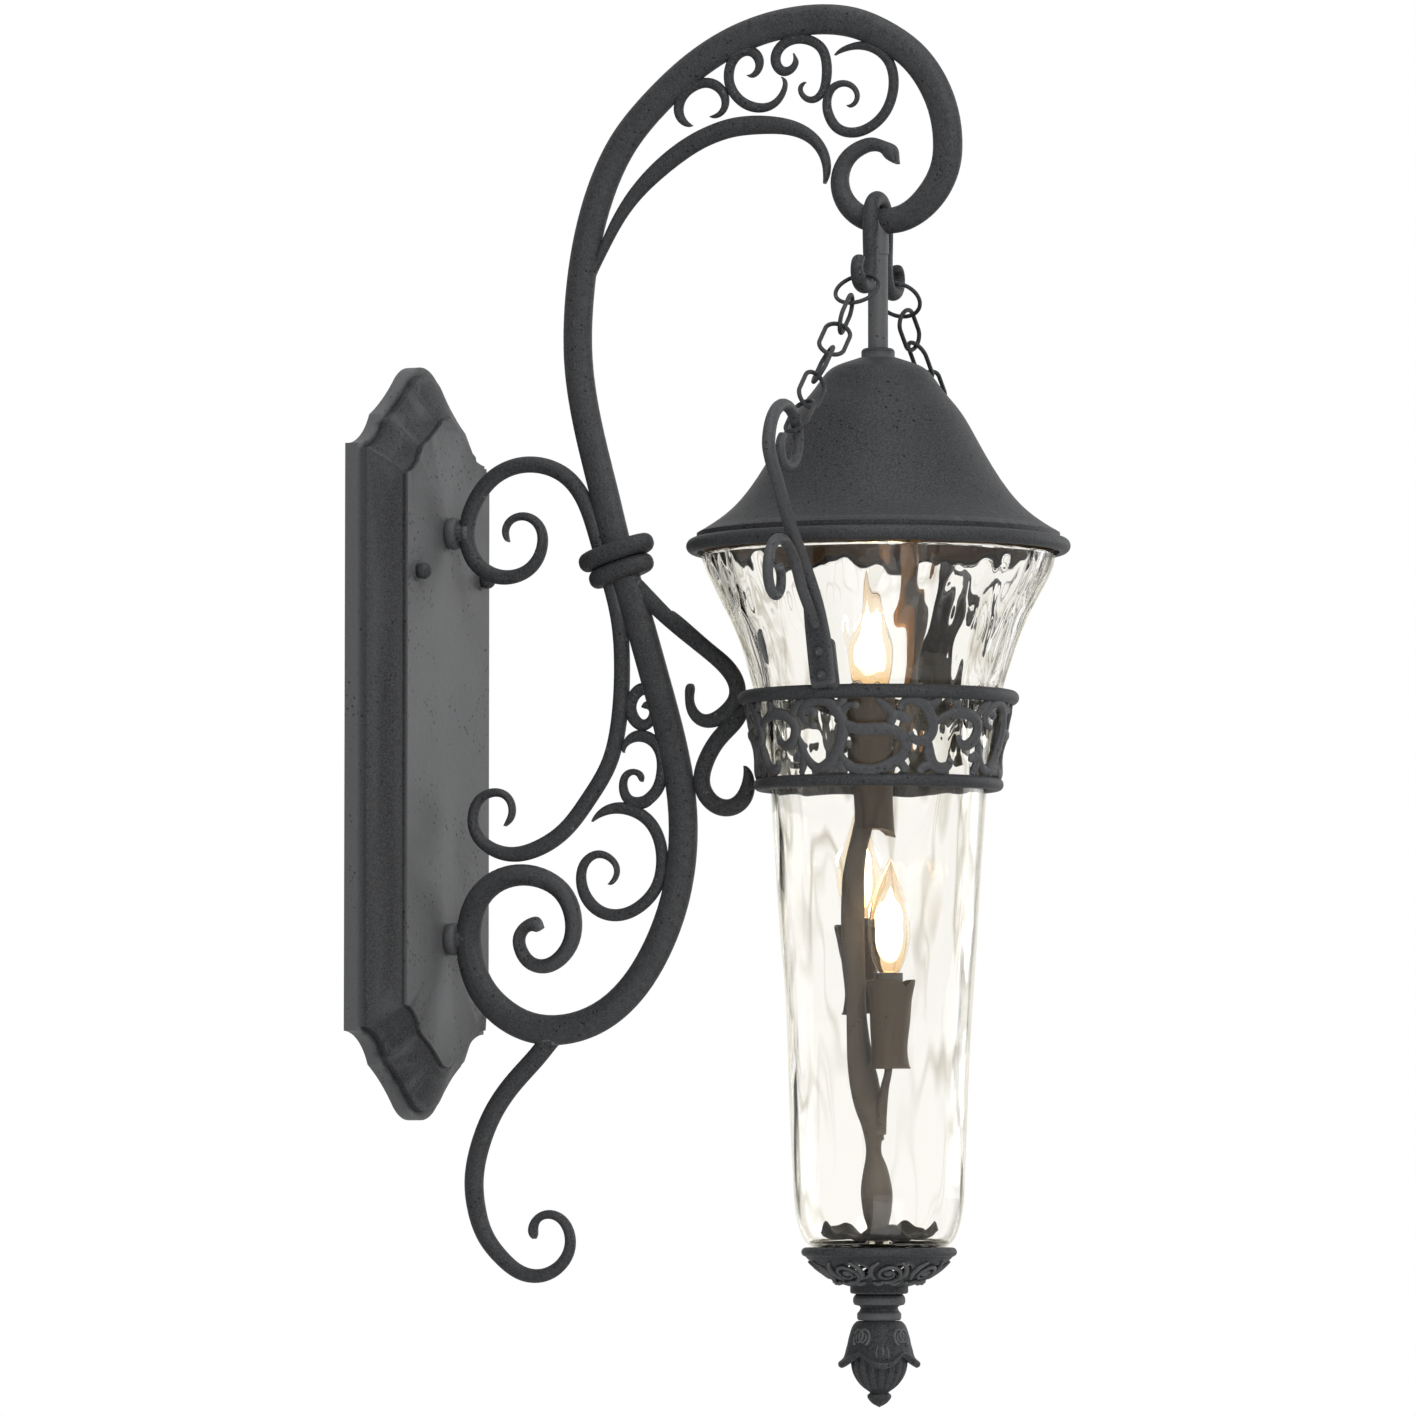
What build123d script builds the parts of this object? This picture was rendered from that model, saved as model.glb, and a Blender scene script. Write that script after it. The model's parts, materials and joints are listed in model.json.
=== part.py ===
"""Outdoor wall light: a scrolled bracket on a stepped plate carries a bell-roofed lantern.

The frame has its origin on the wall, at the centre of the plate's back face. +Z is up, the
light stands out along -Y, and X runs across the plate. Every length is in millimetres.
"""

import os
from math import atan2, ceil, cos, degrees, radians, sin

from build123d import *

os.makedirs("parts", exist_ok=True)

# Driving sizes of the whole light
bracket_span = 520.0  # height of the arm's crown above the plate's centre
reach_share = 0.7135  # wall to lantern axis, as a share of the span
cut_overrun = 2.0  # how far a cutting tool runs past the face it opens
running_gap = 0.3  # between curved faces of pieces that move past each other
thread_gap = 0.05  # radial clearance of a screw in its hole

# Wall plate
plate_width = 217.0
plate_height = 552.0
plate_side_height = 424.0  # straight stretch of the sides
plate_notch_half = 69.0  # half width at the notches
plate_notch_rise = 24.0  # notch above the side's end
plate_shoulder_half = 30.0  # half width where the hollow turns into the round end
plate_shoulder_drop = 13.0  # shoulder below the tip
plate_edge = 10.0  # thickness of the outer ledge
plate_step = 4.5
plate_bevel_rise = 14.5
plate_panel_rise = 3.0
plate_step_inset = 6.0
plate_bevel_inset = 29.0
plate_panel_inset = 3.5
plate_wall = 4.0
plate_web = 5.0  # webs behind the plate
plate_pad_radius = 12.0

# Crossbar, studs and cap nuts
crossbar_length = 134.0
crossbar_width = 22.0
crossbar_thickness = 3.0
crossbar_height = 122.0  # above the plate's centre
box_screw_spacing = 88.9
box_screw_radius = 2.4
stud_spacing = 110.0
stud_radius = 2.5
stud_clearance = 0.4  # radial, where a stud passes through the plate
cap_nut_radius = 6.0
cap_nut_flange_height = 1.5
cap_nut_sink = 4.0  # centre of the ball above its flange
cap_nut_flange = 7.0
ground_screw_radius = 2.0
ground_screw_head = 4.0
ground_screw_head_height = 2.5
ground_screw_place = 22.0

# Bosses between the plate and the bracket
boss_radius = 12.0
boss_flange = 3.0
boss_neck_radius = 7.5
boss_bolt_radius = 3.0
boss_bolt_head_radius = 5.5
boss_bolt_head = 4.0
boss_bolt_grip = 6.0  # how far a bolt goes into its bar
upper_boss_share = 0.294  # heights of the bosses, as shares of the span
lower_boss_share = -0.277
upper_touch_share = 0.090  # centre line of each bar where its boss meets it
lower_touch_share = 0.0935

# Bars of the bracket: in-plane width, and depth across the bracket
arm_width = 22.0
arm_depth = 15.5
stay_width = 12.0
stay_depth = 11.0
scroll_width = 12.5
scroll_depth = 10.5
tail_width = 14.5
tail_depth = 12.0
spandrel_width = 9.0
spandrel_depth = 8.0
rib_width = 14.0
rib_depth = 10.0
filigree_width = 7.5
filigree_depth = 7.0
tip_share = 0.36  # width of a drawn-out tip, as a share of the bar's

# Collar that binds the bars
collar_half_length = 30.0
collar_half_depth = 15.5
collar_bead = 14.0
collar_round_share = 0.46
collar_lower_share = 0.86

# Hanger
strap_radius = 5.6
strap_leg = 14.0  # leg centre line from the stem's axis
strap_drop = 47.0  # top of the hook to the centre of the strap's curls
strap_lean_share = 1.12  # slanted section of a curl where the ring hangs
strap_curl_radius = 13.0
strap_tip_share = 0.75
strap_seat = 0.4  # how far the strap beds into the top of the hook
coupling_radius = 7.9
coupling_height = 13.0
coupling_round = 0.6
stem_radius = 7.2
stem_bore = 4.5
stem_drop = 87.5  # underside of the hook to the top of the roof
stem_tuck = 20.0  # stem below the top of the roof
collar_nut_radius = 12.0
collar_nut_height = 7.0
collar_nut_round = 3.0
stem_nut_radius = 13.0
stem_nut_height = 7.0

# Chains
ring_radius = 16.0
ring_wire = 1.5
link_wire = 1.6
link_half_width = 9.2  # to the centre line of the wire
links_per_chain = 5
link_twist = 75.0  # each link is turned this far about the chain from the one above
chain_hook_angle = -60.0
chain_eye_angle = 140.0
chain_slack = 0.6  # free play of the last link in its eye

# Roof
roof_radius = 137.5
roof_height = 140.5
roof_wall = 3.0
roof_bead = 5.3
rim_gap = 0.9  # between the roof's rim and the shade

# Band and the two side arms
band_upper_radius = 95.5
band_lower_radius = 84.7
band_upper_bead = 5.0
band_lower_bead = 4.6
band_height = 62.0
band_level = 103.5  # upper ring below the roof's rim
band_scroll_count = 14
band_scroll_width = 5.6
band_scroll_depth = 5.0
arm_wire_width = 9.4
side_curl_width = 8.0
lug_width = 20.0
lug_thickness = 3.5
lug_height = 38.0
lug_slope = 16.0
lug_corner = 4.0
lug_bottom = 6.0  # foot of an arm above the ring's centre line
rivet_spacing = 17.0
foot_thickness = 4.5
rivet_radius = 2.4
rivet_head_radius = 3.4

# Shade
glass_radius = 128.6
glass_height = 498.0
glass_wall = 3.2
glass_tuck = 3.0  # rim of the shade above the roof's lowest edge
glass_hole = 9.0

# Bottom cup, rod and finial
cup_radius = 55.4
cup_rim = 3.2
cup_height = 28.0
cup_wall = 2.6
cup_ledge = 9.0
cup_window_count = 8
cup_window_radius = 8.0
cup_neck_radius = 20.7
cup_neck_height = 24.0
rod_radius = 4.0
finial_radius = 29.6
finial_height = 61.5
finial_petals = 8
finial_notch_radius = 5.0
notch_out_share = 0.3
notch_rise_share = 0.25
rod_grip = 14.0  # how far the rod goes into the finial
rod_tuck = 6.0  # and into the foot of the vine

# Lights inside the shade
vine_turn = -66.7  # direction of the vine's plane about the lantern axis
vine_width = 10.0
vine_depth = 9.0
vine_base_radius = 16.0
vine_base_height = 48.0
vine_height = 297.0
vine_tuck = 2.0  # how far its ends go into the cups
front_branch_turn = -137.5
rear_branch_turn = 45.5
feed_radius = 4.5
feed_bore = 3.0
feed_tuck = 12.0  # how far the feed goes up into the stem
branch_width = 7.0
candle_radius = 14.0
candle_height = 98.0
candle_base = 6.0
cup_top_radius = 17.5
tulip_height = 62.0
holder_radius = 9.5
holder_height = 26.0
holder_proud = 6.0  # holder above the rim of its cup
holder_bore = 6.4
holder_depth = 21.0
bulb_radius = 16.0
bulb_length = 82.0
bulb_cap_radius = 6.0
bulb_cap_height = 20.0
bulb_wall = 1.2
bulb_tip_wall = 2.5
bulb_lift = 0.5  # bulb's base above its holder

# Places that follow from the sizes above
reach = bracket_span * reach_share
bracket_plane = Plane(origin=(0, 0, 0), x_dir=(0, -1, 0), z_dir=(-1, 0, 0))
front_plane = Plane(origin=(0, -reach, 0), x_dir=(-1, 0, 0), z_dir=(0, 1, 0))
turn_step = 30.0  # most that a scroll turns between two of its points

# Shape of the bead that ends a drawn-out tip, as shares of the bar's width there
bead_length_share = 0.6
bead_swell_share = 1.3
bead_end_share = 0.3


def spots(size, *shares):
    """Points given as shares of one size."""
    return [(size * across, size * up) for across, up in shares]


def curl(size, centre, start_radius, end_radius, start_angle, turn):
    """Points of a scroll whose radius changes steadily as it turns."""
    steps = ceil(abs(turn) / turn_step)
    points = []
    for step in range(steps + 1):
        part_way = step / steps
        radius = size * (start_radius + (end_radius - start_radius) * part_way)
        angle = radians(start_angle + turn * part_way)
        points.append((size * centre[0] + radius * cos(angle), size * centre[1] + radius * sin(angle)))
    return points


def headings(points):
    """Direction of a smooth path at each of its points."""
    result = [points[1] - points[0]]
    for before, here, after in zip(points, points[1:], points[2:]):
        came, goes = here - before, after - here
        result.append(came * (1 / came.length**2) + goes * (1 / goes.length**2))
    result.append(points[-1] - points[-2])
    return result


def forged_bar(plane, path, width, depth, start_taper=0.0, end_taper=0.0):
    """A bar of oval section along a path in a plane; a taper is the share drawn out to a tip."""
    points = [plane.from_local_coords(Vector(across, up, 0)) for across, up in path]
    travelled = [0.0]
    for before, here in zip(points, points[1:]):
        travelled.append(travelled[-1] + (here - before).length)
    length = travelled[-1]
    with BuildPart() as bar:
        for point, heading, place in zip(points, headings(points), travelled):
            size = 1.0
            for taper, distance in ((start_taper, place), (end_taper, length - place)):
                if taper:
                    drawn = tip_share + (1 - tip_share) * min(1.0, distance / (taper * length))
                    bead = bead_end_share if distance == 0 else bead_swell_share
                    size = min(size, drawn * bead if distance < bead_length_share * width else drawn)
            with BuildSketch(Plane(origin=point, x_dir=plane.z_dir, z_dir=heading)):
                Ellipse(depth / 2 * (1 + size) / 2, width / 2 * size)
        loft()
    return bar.part


def wall_section(outline, wall):
    """Points of the inner side of a wall whose outer side is an outline, going the same way."""
    inner = []
    for (across, up), heading in zip(outline, headings([Vector(*spot) for spot in outline])):
        heading = heading.normalized()
        inner.append((across - heading.Y * wall, up + heading.X * wall))
    return inner


# Wall plate: stepped layers with one outline, each drawn in from the one below
def plate_outline(inset):
    """Half outline of a layer: straight side, hollow corner, notch, hollow neck and round end."""
    half_width = plate_width / 2 - inset
    side = (plate_side_height - inset) / 2
    notch = plate_notch_half - inset * notch_inset_share
    notch_top = side + plate_notch_rise - inset * notch_drop_share
    tip = plate_height / 2 - inset
    shoulder = plate_shoulder_half - inset * shoulder_inset_share
    shoulder_top = tip - plate_shoulder_drop + inset * shoulder_drop_share
    return half_width, side, notch, notch_top, shoulder, shoulder_top, tip


notch_inset_share = 0.6
notch_drop_share = 0.1
shoulder_inset_share = 0.4
shoulder_drop_share = 0.17
hollow_share = 0.35  # depth of the hollow corner, as a share of its chord's width
neck_across_share = 0.42
neck_up_share = 0.35
wall_plane = Plane(origin=(0, 0, 0), x_dir=(1, 0, 0), z_dir=(0, -1, 0))


def plate_layer(inset, height):
    """The face of one layer of the plate, at a height above the wall."""
    half_width, side, notch, notch_top, shoulder, shoulder_top, tip = plate_outline(inset)
    with BuildSketch(wall_plane.offset(height)) as layer:
        with BuildLine():
            for hand, end in ((1, 1), (-1, -1)):
                corner = (hand * half_width, end * side)
                hollow = (
                    hand * (notch + (half_width - notch) * hollow_share),
                    end * (side + (notch_top - side) * hollow_share),
                )
                step_in = (hand * notch, end * notch_top)
                neck = (
                    hand * (notch + (shoulder - notch) * neck_across_share),
                    end * (notch_top + (shoulder_top - notch_top) * neck_up_share),
                )
                turn = (hand * shoulder, end * shoulder_top)
                ThreePointArc(corner, hollow, step_in)
                ThreePointArc(step_in, neck, turn)
                ThreePointArc(turn, (0, end * tip), (-turn[0], turn[1]))
                ThreePointArc((-turn[0], turn[1]), (-neck[0], neck[1]), (-step_in[0], step_in[1]))
                ThreePointArc((-step_in[0], step_in[1]), (-hollow[0], hollow[1]), (-corner[0], corner[1]))
                Line((-corner[0], corner[1]), (-corner[0], -corner[1]))
        make_face()
    return layer.sketch


step_top = plate_edge + plate_step
bevel_top = step_top + plate_bevel_rise
panel_top = bevel_top + plate_panel_rise
step_inset = plate_step_inset
bevel_inset = step_inset + plate_bevel_inset
panel_inset = bevel_inset + plate_panel_inset
crossbar_spots = [(-stud_spacing / 2, crossbar_height), (stud_spacing / 2, crossbar_height)]

# Bars of the bracket, as shares of its span: outwards from the wall, and up
main_arm_shares = (
    (0.743, 0.785),
    (0.735, 0.798),
    (0.723, 0.808),
    (0.706, 0.813),
    (0.688, 0.809),
    (0.672, 0.799),
    (0.661, 0.783),
    (0.657, 0.763),
    (0.662, 0.742),
    (0.676, 0.723),
    (0.698, 0.710),
    (0.723, 0.706),
    (0.746, 0.708),
    (0.769, 0.718),
    (0.789, 0.735),
    (0.805, 0.757),
    (0.815, 0.784),
    (0.817, 0.815),
    (0.811, 0.854),
    (0.794, 0.895),
    (0.763, 0.935),
    (0.724, 0.963),
    (0.680, 0.983),
    (0.632, 0.991),
    (0.580, 0.989),
    (0.530, 0.979),
    (0.480, 0.960),
    (0.431, 0.931),
    (0.381, 0.890),
    (0.332, 0.837),
    (0.300, 0.779),
    (0.276, 0.704),
    (0.262, 0.612),
    (0.261, 0.530),
    (0.277, 0.433),
    (0.303, 0.334),
    (0.325, 0.252),
    (0.350, 0.175),
    (0.373, 0.100),
    (0.402, 0.000),
    (0.418, -0.080),
    (0.420, -0.157),
    (0.406, -0.233),
    (0.377, -0.301),
    (0.345, -0.347),
    (0.299, -0.385),
    (0.243, -0.404),
    (0.188, -0.401),
    (0.145, -0.380),
    (0.112, -0.345),
    (0.095, -0.298),
    (0.095, -0.255),
    (0.110, -0.218),
    (0.140, -0.195),
    (0.176, -0.188),
    (0.210, -0.195),
    (0.238, -0.214),
    (0.253, -0.245),
    (0.251, -0.281),
    (0.234, -0.305),
    (0.210, -0.316),
    (0.188, -0.311),
    (0.174, -0.294),
    (0.171, -0.276),
    (0.180, -0.262),
    (0.193, -0.257),
    (0.206, -0.262),
)
upper_stay_shares = (
    (0.302, 0.240),
    (0.294, 0.268),
    (0.284, 0.300),
    (0.268, 0.338),
    (0.243, 0.368),
    (0.207, 0.385),
    (0.165, 0.386),
    (0.130, 0.371),
    (0.105, 0.344),
    (0.091, 0.310),
    (0.091, 0.277),
    (0.106, 0.249),
    (0.132, 0.233),
    (0.162, 0.231),
    (0.190, 0.244),
    (0.205, 0.270),
    (0.203, 0.297),
    (0.188, 0.312),
    (0.170, 0.315),
    (0.155, 0.308),
    (0.149, 0.294),
    (0.154, 0.280),
)
rear_stay_shares = (
    (0.305, 0.236),
    (0.315, 0.201),
    (0.324, 0.160),
    (0.328, 0.100),
    (0.323, 0.022),
    (0.308, -0.035),
    (0.277, -0.084),
    (0.240, -0.127),
    (0.200, -0.151),
    (0.161, -0.159),
    (0.127, -0.150),
    (0.104, -0.128),
    (0.100, -0.102),
    (0.110, -0.081),
    (0.130, -0.072),
    (0.149, -0.076),
    (0.159, -0.090),
    (0.158, -0.107),
    (0.149, -0.119),
)
front_scroll_upper_shares = (
    (0.334, 0.236),
    (0.355, 0.207),
    (0.398, 0.167),
    (0.440, 0.134),
    (0.480, 0.102),
    (0.498, 0.080),
    (0.503, 0.061),
    (0.497, 0.044),
    (0.484, 0.031),
    (0.467, 0.023),
    (0.450, 0.023),
    (0.437, 0.033),
    (0.431, 0.049),
    (0.431, 0.063),
    (0.434, 0.074),
)
front_scroll_lower_shares = (
    (0.522, 0.046),
    (0.511, 0.033),
    (0.494, 0.015),
    (0.471, -0.008),
    (0.455, -0.035),
    (0.449, -0.060),
    (0.456, -0.082),
    (0.472, -0.096),
    (0.492, -0.099),
    (0.509, -0.090),
    (0.518, -0.073),
    (0.519, -0.056),
    (0.514, -0.042),
)
tail_scroll_shares = (
    (0.236, -0.404),
    (0.203, -0.437),
    (0.165, -0.476),
    (0.134, -0.516),
    (0.112, -0.564),
    (0.102, -0.614),
    (0.106, -0.655),
    (0.120, -0.693),
    (0.145, -0.723),
    (0.176, -0.744),
    (0.206, -0.747),
    (0.232, -0.735),
    (0.248, -0.712),
    (0.248, -0.687),
    (0.235, -0.668),
    (0.216, -0.662),
    (0.200, -0.668),
    (0.193, -0.682),
    (0.195, -0.696),
)
spandrel_large_shares = (
    (0.283, -0.115),
    (0.294, -0.105),
    (0.318, -0.097),
    (0.345, -0.101),
    (0.370, -0.117),
    (0.385, -0.143),
    (0.389, -0.175),
    (0.381, -0.207),
    (0.360, -0.231),
    (0.330, -0.245),
    (0.298, -0.242),
    (0.276, -0.224),
    (0.266, -0.196),
    (0.272, -0.172),
    (0.290, -0.161),
    (0.309, -0.166),
    (0.320, -0.180),
    (0.318, -0.194),
    (0.308, -0.203),
)
spandrel_middle_shares = (
    (0.331, -0.020),
    (0.337, -0.004),
    (0.354, 0.003),
    (0.372, -0.002),
    (0.385, -0.016),
    (0.390, -0.040),
    (0.384, -0.068),
    (0.369, -0.085),
    (0.350, -0.090),
    (0.335, -0.082),
    (0.330, -0.066),
    (0.335, -0.051),
    (0.347, -0.047),
    (0.356, -0.052),
    (0.359, -0.061),
)
spandrel_small_shares = (
    (0.371, 0.062),
    (0.360, 0.068),
    (0.347, 0.060),
    (0.341, 0.043),
    (0.347, 0.026),
    (0.360, 0.018),
    (0.372, 0.024),
    (0.375, 0.036),
    (0.368, 0.045),
    (0.359, 0.043),
)
hook_rib_shares = (
    (0.283, 0.643),
    (0.299, 0.685),
    (0.319, 0.722),
    (0.350, 0.763),
    (0.388, 0.797),
    (0.431, 0.825),
    (0.473, 0.842),
    (0.520, 0.849),
    (0.567, 0.846),
    (0.604, 0.834),
    (0.628, 0.812),
    (0.637, 0.788),
    (0.634, 0.762),
)
hook_scroll_shares = (
    (
        (0.435, 0.853),
        (0.420, 0.861),
        (0.414, 0.878),
        (0.421, 0.896),
        (0.437, 0.908),
        (0.456, 0.912),
        (0.474, 0.905),
        (0.484, 0.890),
        (0.483, 0.875),
        (0.474, 0.866),
        (0.462, 0.864),
    ),
    (
        (0.518, 0.919),
        (0.529, 0.920),
        (0.536, 0.931),
        (0.533, 0.945),
        (0.521, 0.953),
        (0.504, 0.949),
        (0.493, 0.935),
        (0.490, 0.917),
        (0.496, 0.898),
        (0.511, 0.882),
        (0.534, 0.873),
        (0.556, 0.876),
        (0.570, 0.889),
        (0.575, 0.902),
        (0.570, 0.914),
    ),
    (
        (0.588, 0.946),
        (0.591, 0.934),
        (0.584, 0.924),
        (0.572, 0.922),
        (0.562, 0.932),
        (0.562, 0.947),
        (0.573, 0.960),
        (0.593, 0.966),
        (0.614, 0.962),
        (0.630, 0.950),
        (0.637, 0.930),
        (0.637, 0.909),
        (0.631, 0.890),
        (0.618, 0.880),
        (0.604, 0.884),
        (0.598, 0.896),
        (0.606, 0.905),
    ),
    (
        (0.650, 0.940),
        (0.668, 0.949),
        (0.692, 0.951),
        (0.713, 0.944),
        (0.730, 0.927),
        (0.737, 0.904),
        (0.735, 0.880),
        (0.724, 0.856),
        (0.703, 0.838),
        (0.677, 0.831),
        (0.654, 0.838),
        (0.641, 0.856),
        (0.638, 0.878),
        (0.648, 0.896),
        (0.664, 0.900),
        (0.678, 0.893),
        (0.683, 0.881),
        (0.677, 0.870),
        (0.668, 0.869),
    ),
)


def bracket_bar(shares, width, depth, start_taper=0.0, end_taper=0.0):
    """One bar of the bracket, from its shares of the span."""
    return forged_bar(bracket_plane, spots(bracket_span, *shares), width, depth, start_taper, end_taper)


def coped(bar, *neighbours):
    """A bar cut to seat against its neighbours, without the offcuts."""
    with BuildPart() as seated:
        add(bar)
        for neighbour in neighbours:
            add(neighbour, mode=Mode.SUBTRACT)
    return seated.part.solids().sort_by(SortBy.VOLUME)[-1]


arm_bar = bracket_bar(main_arm_shares, arm_width, arm_depth, 0.10, 0.18)
upper_bar = coped(bracket_bar(upper_stay_shares, stay_width, stay_depth, 0, 0.35), arm_bar)
rear_bar = coped(bracket_bar(rear_stay_shares, stay_width, stay_depth, 0, 0.35), arm_bar, upper_bar)
front_upper_bar = coped(
    bracket_bar(front_scroll_upper_shares, scroll_width, scroll_depth, 0, 0.25), arm_bar
)

# Levels of the lantern, all worked down from the hook
hook_share = 0.706  # lowest point of the hook's centre line
hook_top = bracket_span * hook_share + arm_width / 2
hook_underside = bracket_span * hook_share - arm_width / 2
roof_top = hook_underside - stem_drop
roof_rim = roof_top - roof_height
glass_top = roof_rim + glass_tuck
glass_bottom = glass_top - glass_height
upper_ring_level = roof_rim - band_level
lower_ring_level = upper_ring_level - band_height
stem_bottom = roof_top - stem_tuck
lantern_axis = Axis((0, -reach, 0), (0, 0, 1))
lantern_plane = Plane(origin=(0, -reach, 0), x_dir=(1, 0, 0), z_dir=(0, -1, 0))


def level(height):
    """The level plane round the lantern's axis, at a height."""
    return Plane(origin=(0, -reach, height), x_dir=(1, 0, 0), z_dir=(0, 0, 1))


def upright(turn):
    """The upright plane through the lantern's axis that faces a direction."""
    along = (cos(radians(turn)), sin(radians(turn)), 0)
    return Plane(origin=(0, -reach, 0), x_dir=along, z_dir=(along[1], -along[0], 0))


# Side arms: a round bar that rises outside the roof and ends in an eye for the chain
arm_eye_centre_shares = (1.236, 1.228)
arm_eye_start_share = 0.233
arm_eye_end_share = 0.062
arm_eye_start_angle = -5.0
arm_eye_turn = 400.0
side_arm_shares = (
    (0.803, 0.226),
    (0.830, 0.320),
    (0.875, 0.420),
    (0.945, 0.530),
    (1.040, 0.650),
    (1.142, 0.764),
    (1.250, 0.890),
    (1.350, 1.020),
    (1.430, 1.125),
)
side_curl_shares = (
    (1.050, 0.665),
    (1.100, 0.565),
    (1.165, 0.497),
    (1.240, 0.462),
)


def from_ring(points):
    """Points measured up from the upper ring, in the lantern's own height."""
    return [(across, up + upper_ring_level) for across, up in points]


eye_path = from_ring(
    curl(
        roof_radius,
        arm_eye_centre_shares,
        arm_eye_start_share,
        arm_eye_end_share,
        arm_eye_start_angle,
        arm_eye_turn,
    )
)
side_path = from_ring(spots(roof_radius, *side_arm_shares)) + eye_path
side_curl_path = from_ring(
    spots(roof_radius, *side_curl_shares) + curl(roof_radius, (1.353, 0.589), 0.131, 0.055, 250, 300)
)
side_bar = forged_bar(front_plane, side_path, arm_wire_width, arm_wire_width, 0, 0.16)
side_curl_bar = coped(
    forged_bar(front_plane, side_curl_path, side_curl_width, side_curl_width, 0, 0.5), side_bar
)


def lug_face(hand, lift):
    """The outer face of a lug on the ring, lifted outwards; +Y of the plane runs up the lug."""
    slope = radians(lug_slope)
    return Plane(
        origin=(hand * band_upper_radius, -reach, upper_ring_level),
        x_dir=(0, hand, 0),
        z_dir=(hand * cos(slope), 0, -sin(slope)),
    ).offset(lift)


rivet_places = [
    (0, lug_bottom + (lug_height - lug_bottom) / 2 + side * rivet_spacing / 2) for side in (-1, 1)
]


def foot_outline(plane, bottom, height):
    """Rounded plate that stands on a lug face."""
    with BuildSketch(plane) as outline:
        with Locations((0, (bottom + height) / 2)):
            RectangleRounded(lug_width, height - bottom, lug_corner)
    return outline.sketch


# Basket band: two rings, with lugs on the upper one for the side arms
with BuildPart() as band_upper_ring:
    with Locations(level(upper_ring_level)):
        Torus(band_upper_radius, band_upper_bead)
    for hand in (-1, 1):
        extrude(foot_outline(lug_face(hand, 0), 0, lug_height), amount=lug_thickness)
        with Locations(*[lug_face(hand, -cut_overrun) * Location(spot) for spot in rivet_places]):
            Cylinder(
                rivet_radius + thread_gap,
                lug_thickness + 2 * cut_overrun,
                align=(Align.CENTER, Align.CENTER, Align.MIN),
                mode=Mode.SUBTRACT,
            )

with BuildPart() as band_lower_ring:
    with Locations(level(lower_ring_level)):
        Torus(band_lower_radius, band_lower_bead)

side_arms = {}
for name, hand in (("arm_front", -1), ("arm_back", 1)):
    with BuildPart() as side_arm:
        add(side_bar if hand < 0 else mirror(side_bar, about=Plane.YZ))
        extrude(foot_outline(lug_face(hand, lug_thickness), lug_bottom, lug_height), amount=foot_thickness)
        add(side_curl_bar if hand < 0 else mirror(side_curl_bar, about=Plane.YZ))
        add(band_upper_ring.part, mode=Mode.SUBTRACT)
        with Locations(*[lug_face(hand, 0) * Location(spot) for spot in rivet_places]):
            Cylinder(
                rivet_radius + thread_gap,
                lug_thickness + foot_thickness,
                align=(Align.CENTER, Align.CENTER, Align.MIN),
                mode=Mode.SUBTRACT,
            )
        with Locations(
            *[lug_face(hand, lug_thickness + foot_thickness) * Location(spot) for spot in rivet_places]
        ):
            Cylinder(
                rivet_head_radius + thread_gap,
                rivet_head_radius + cut_overrun,
                align=(Align.CENTER, Align.CENTER, Align.MIN),
                mode=Mode.SUBTRACT,
            )
    side_arms[name] = side_arm

with BuildPart() as arm_rivets:
    for hand in (-1, 1):
        grip = lug_thickness + foot_thickness
        with Locations(*[lug_face(hand, 0) * Location(spot) for spot in rivet_places]):
            Cylinder(rivet_radius, grip, align=(Align.CENTER, Align.CENTER, Align.MIN))
        with Locations(*[lug_face(hand, grip) * Location(spot) for spot in rivet_places]):
            Sphere(rivet_head_radius, arc_size1=0, align=(Align.CENTER, Align.CENTER, Align.MIN))

# Scrollwork of the band: S and C scrolls in turn, on a cone between the rings
band_s_shares = (
    (-0.157, 0.430),
    (-0.289, 0.320),
    (-0.272, 0.190),
    (-0.136, 0.120),
    (0.042, 0.080),
    (0.221, 0.030),
    (0.314, -0.090),
    (0.246, -0.250),
    (0.110, -0.370),
    (-0.089, -0.410),
    (-0.246, -0.380),
    (-0.327, -0.255),
    (-0.302, -0.135),
    (-0.204, -0.110),
)
band_c_shares = (
    (-0.022, 0.080),
    (-0.136, 0.080),
    (-0.178, 0.185),
    (-0.136, 0.320),
    (-0.022, 0.410),
    (0.110, 0.350),
    (0.192, 0.185),
    (0.204, -0.026),
    (0.157, -0.240),
    (0.042, -0.400),
    (-0.090, -0.385),
    (-0.204, -0.240),
    (-0.212, -0.130),
    (-0.157, -0.120),
)
band_slope = degrees(atan2(band_upper_radius - band_lower_radius, band_height))
band_scroll_plane = Plane(
    origin=(0, -reach - (band_upper_radius + band_lower_radius) / 2, upper_ring_level - band_height / 2),
    x_dir=(1, 0, 0),
    z_dir=(0, -cos(radians(band_slope)), -sin(radians(band_slope))),
)
scroll_bars = []
for shares in (band_s_shares, band_c_shares):
    bar = forged_bar(
        band_scroll_plane, spots(band_height, *shares), band_scroll_width, band_scroll_depth, 0.25, 0.25
    )
    scroll_bars.append(coped(bar, band_upper_ring.part, band_lower_ring.part))
with BuildPart() as band_scrolls:
    for number in range(band_scroll_count):
        turned = (number + 0.5) * 360 / band_scroll_count
        add(scroll_bars[number % 2].rotate(lantern_axis, turned))

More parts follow.
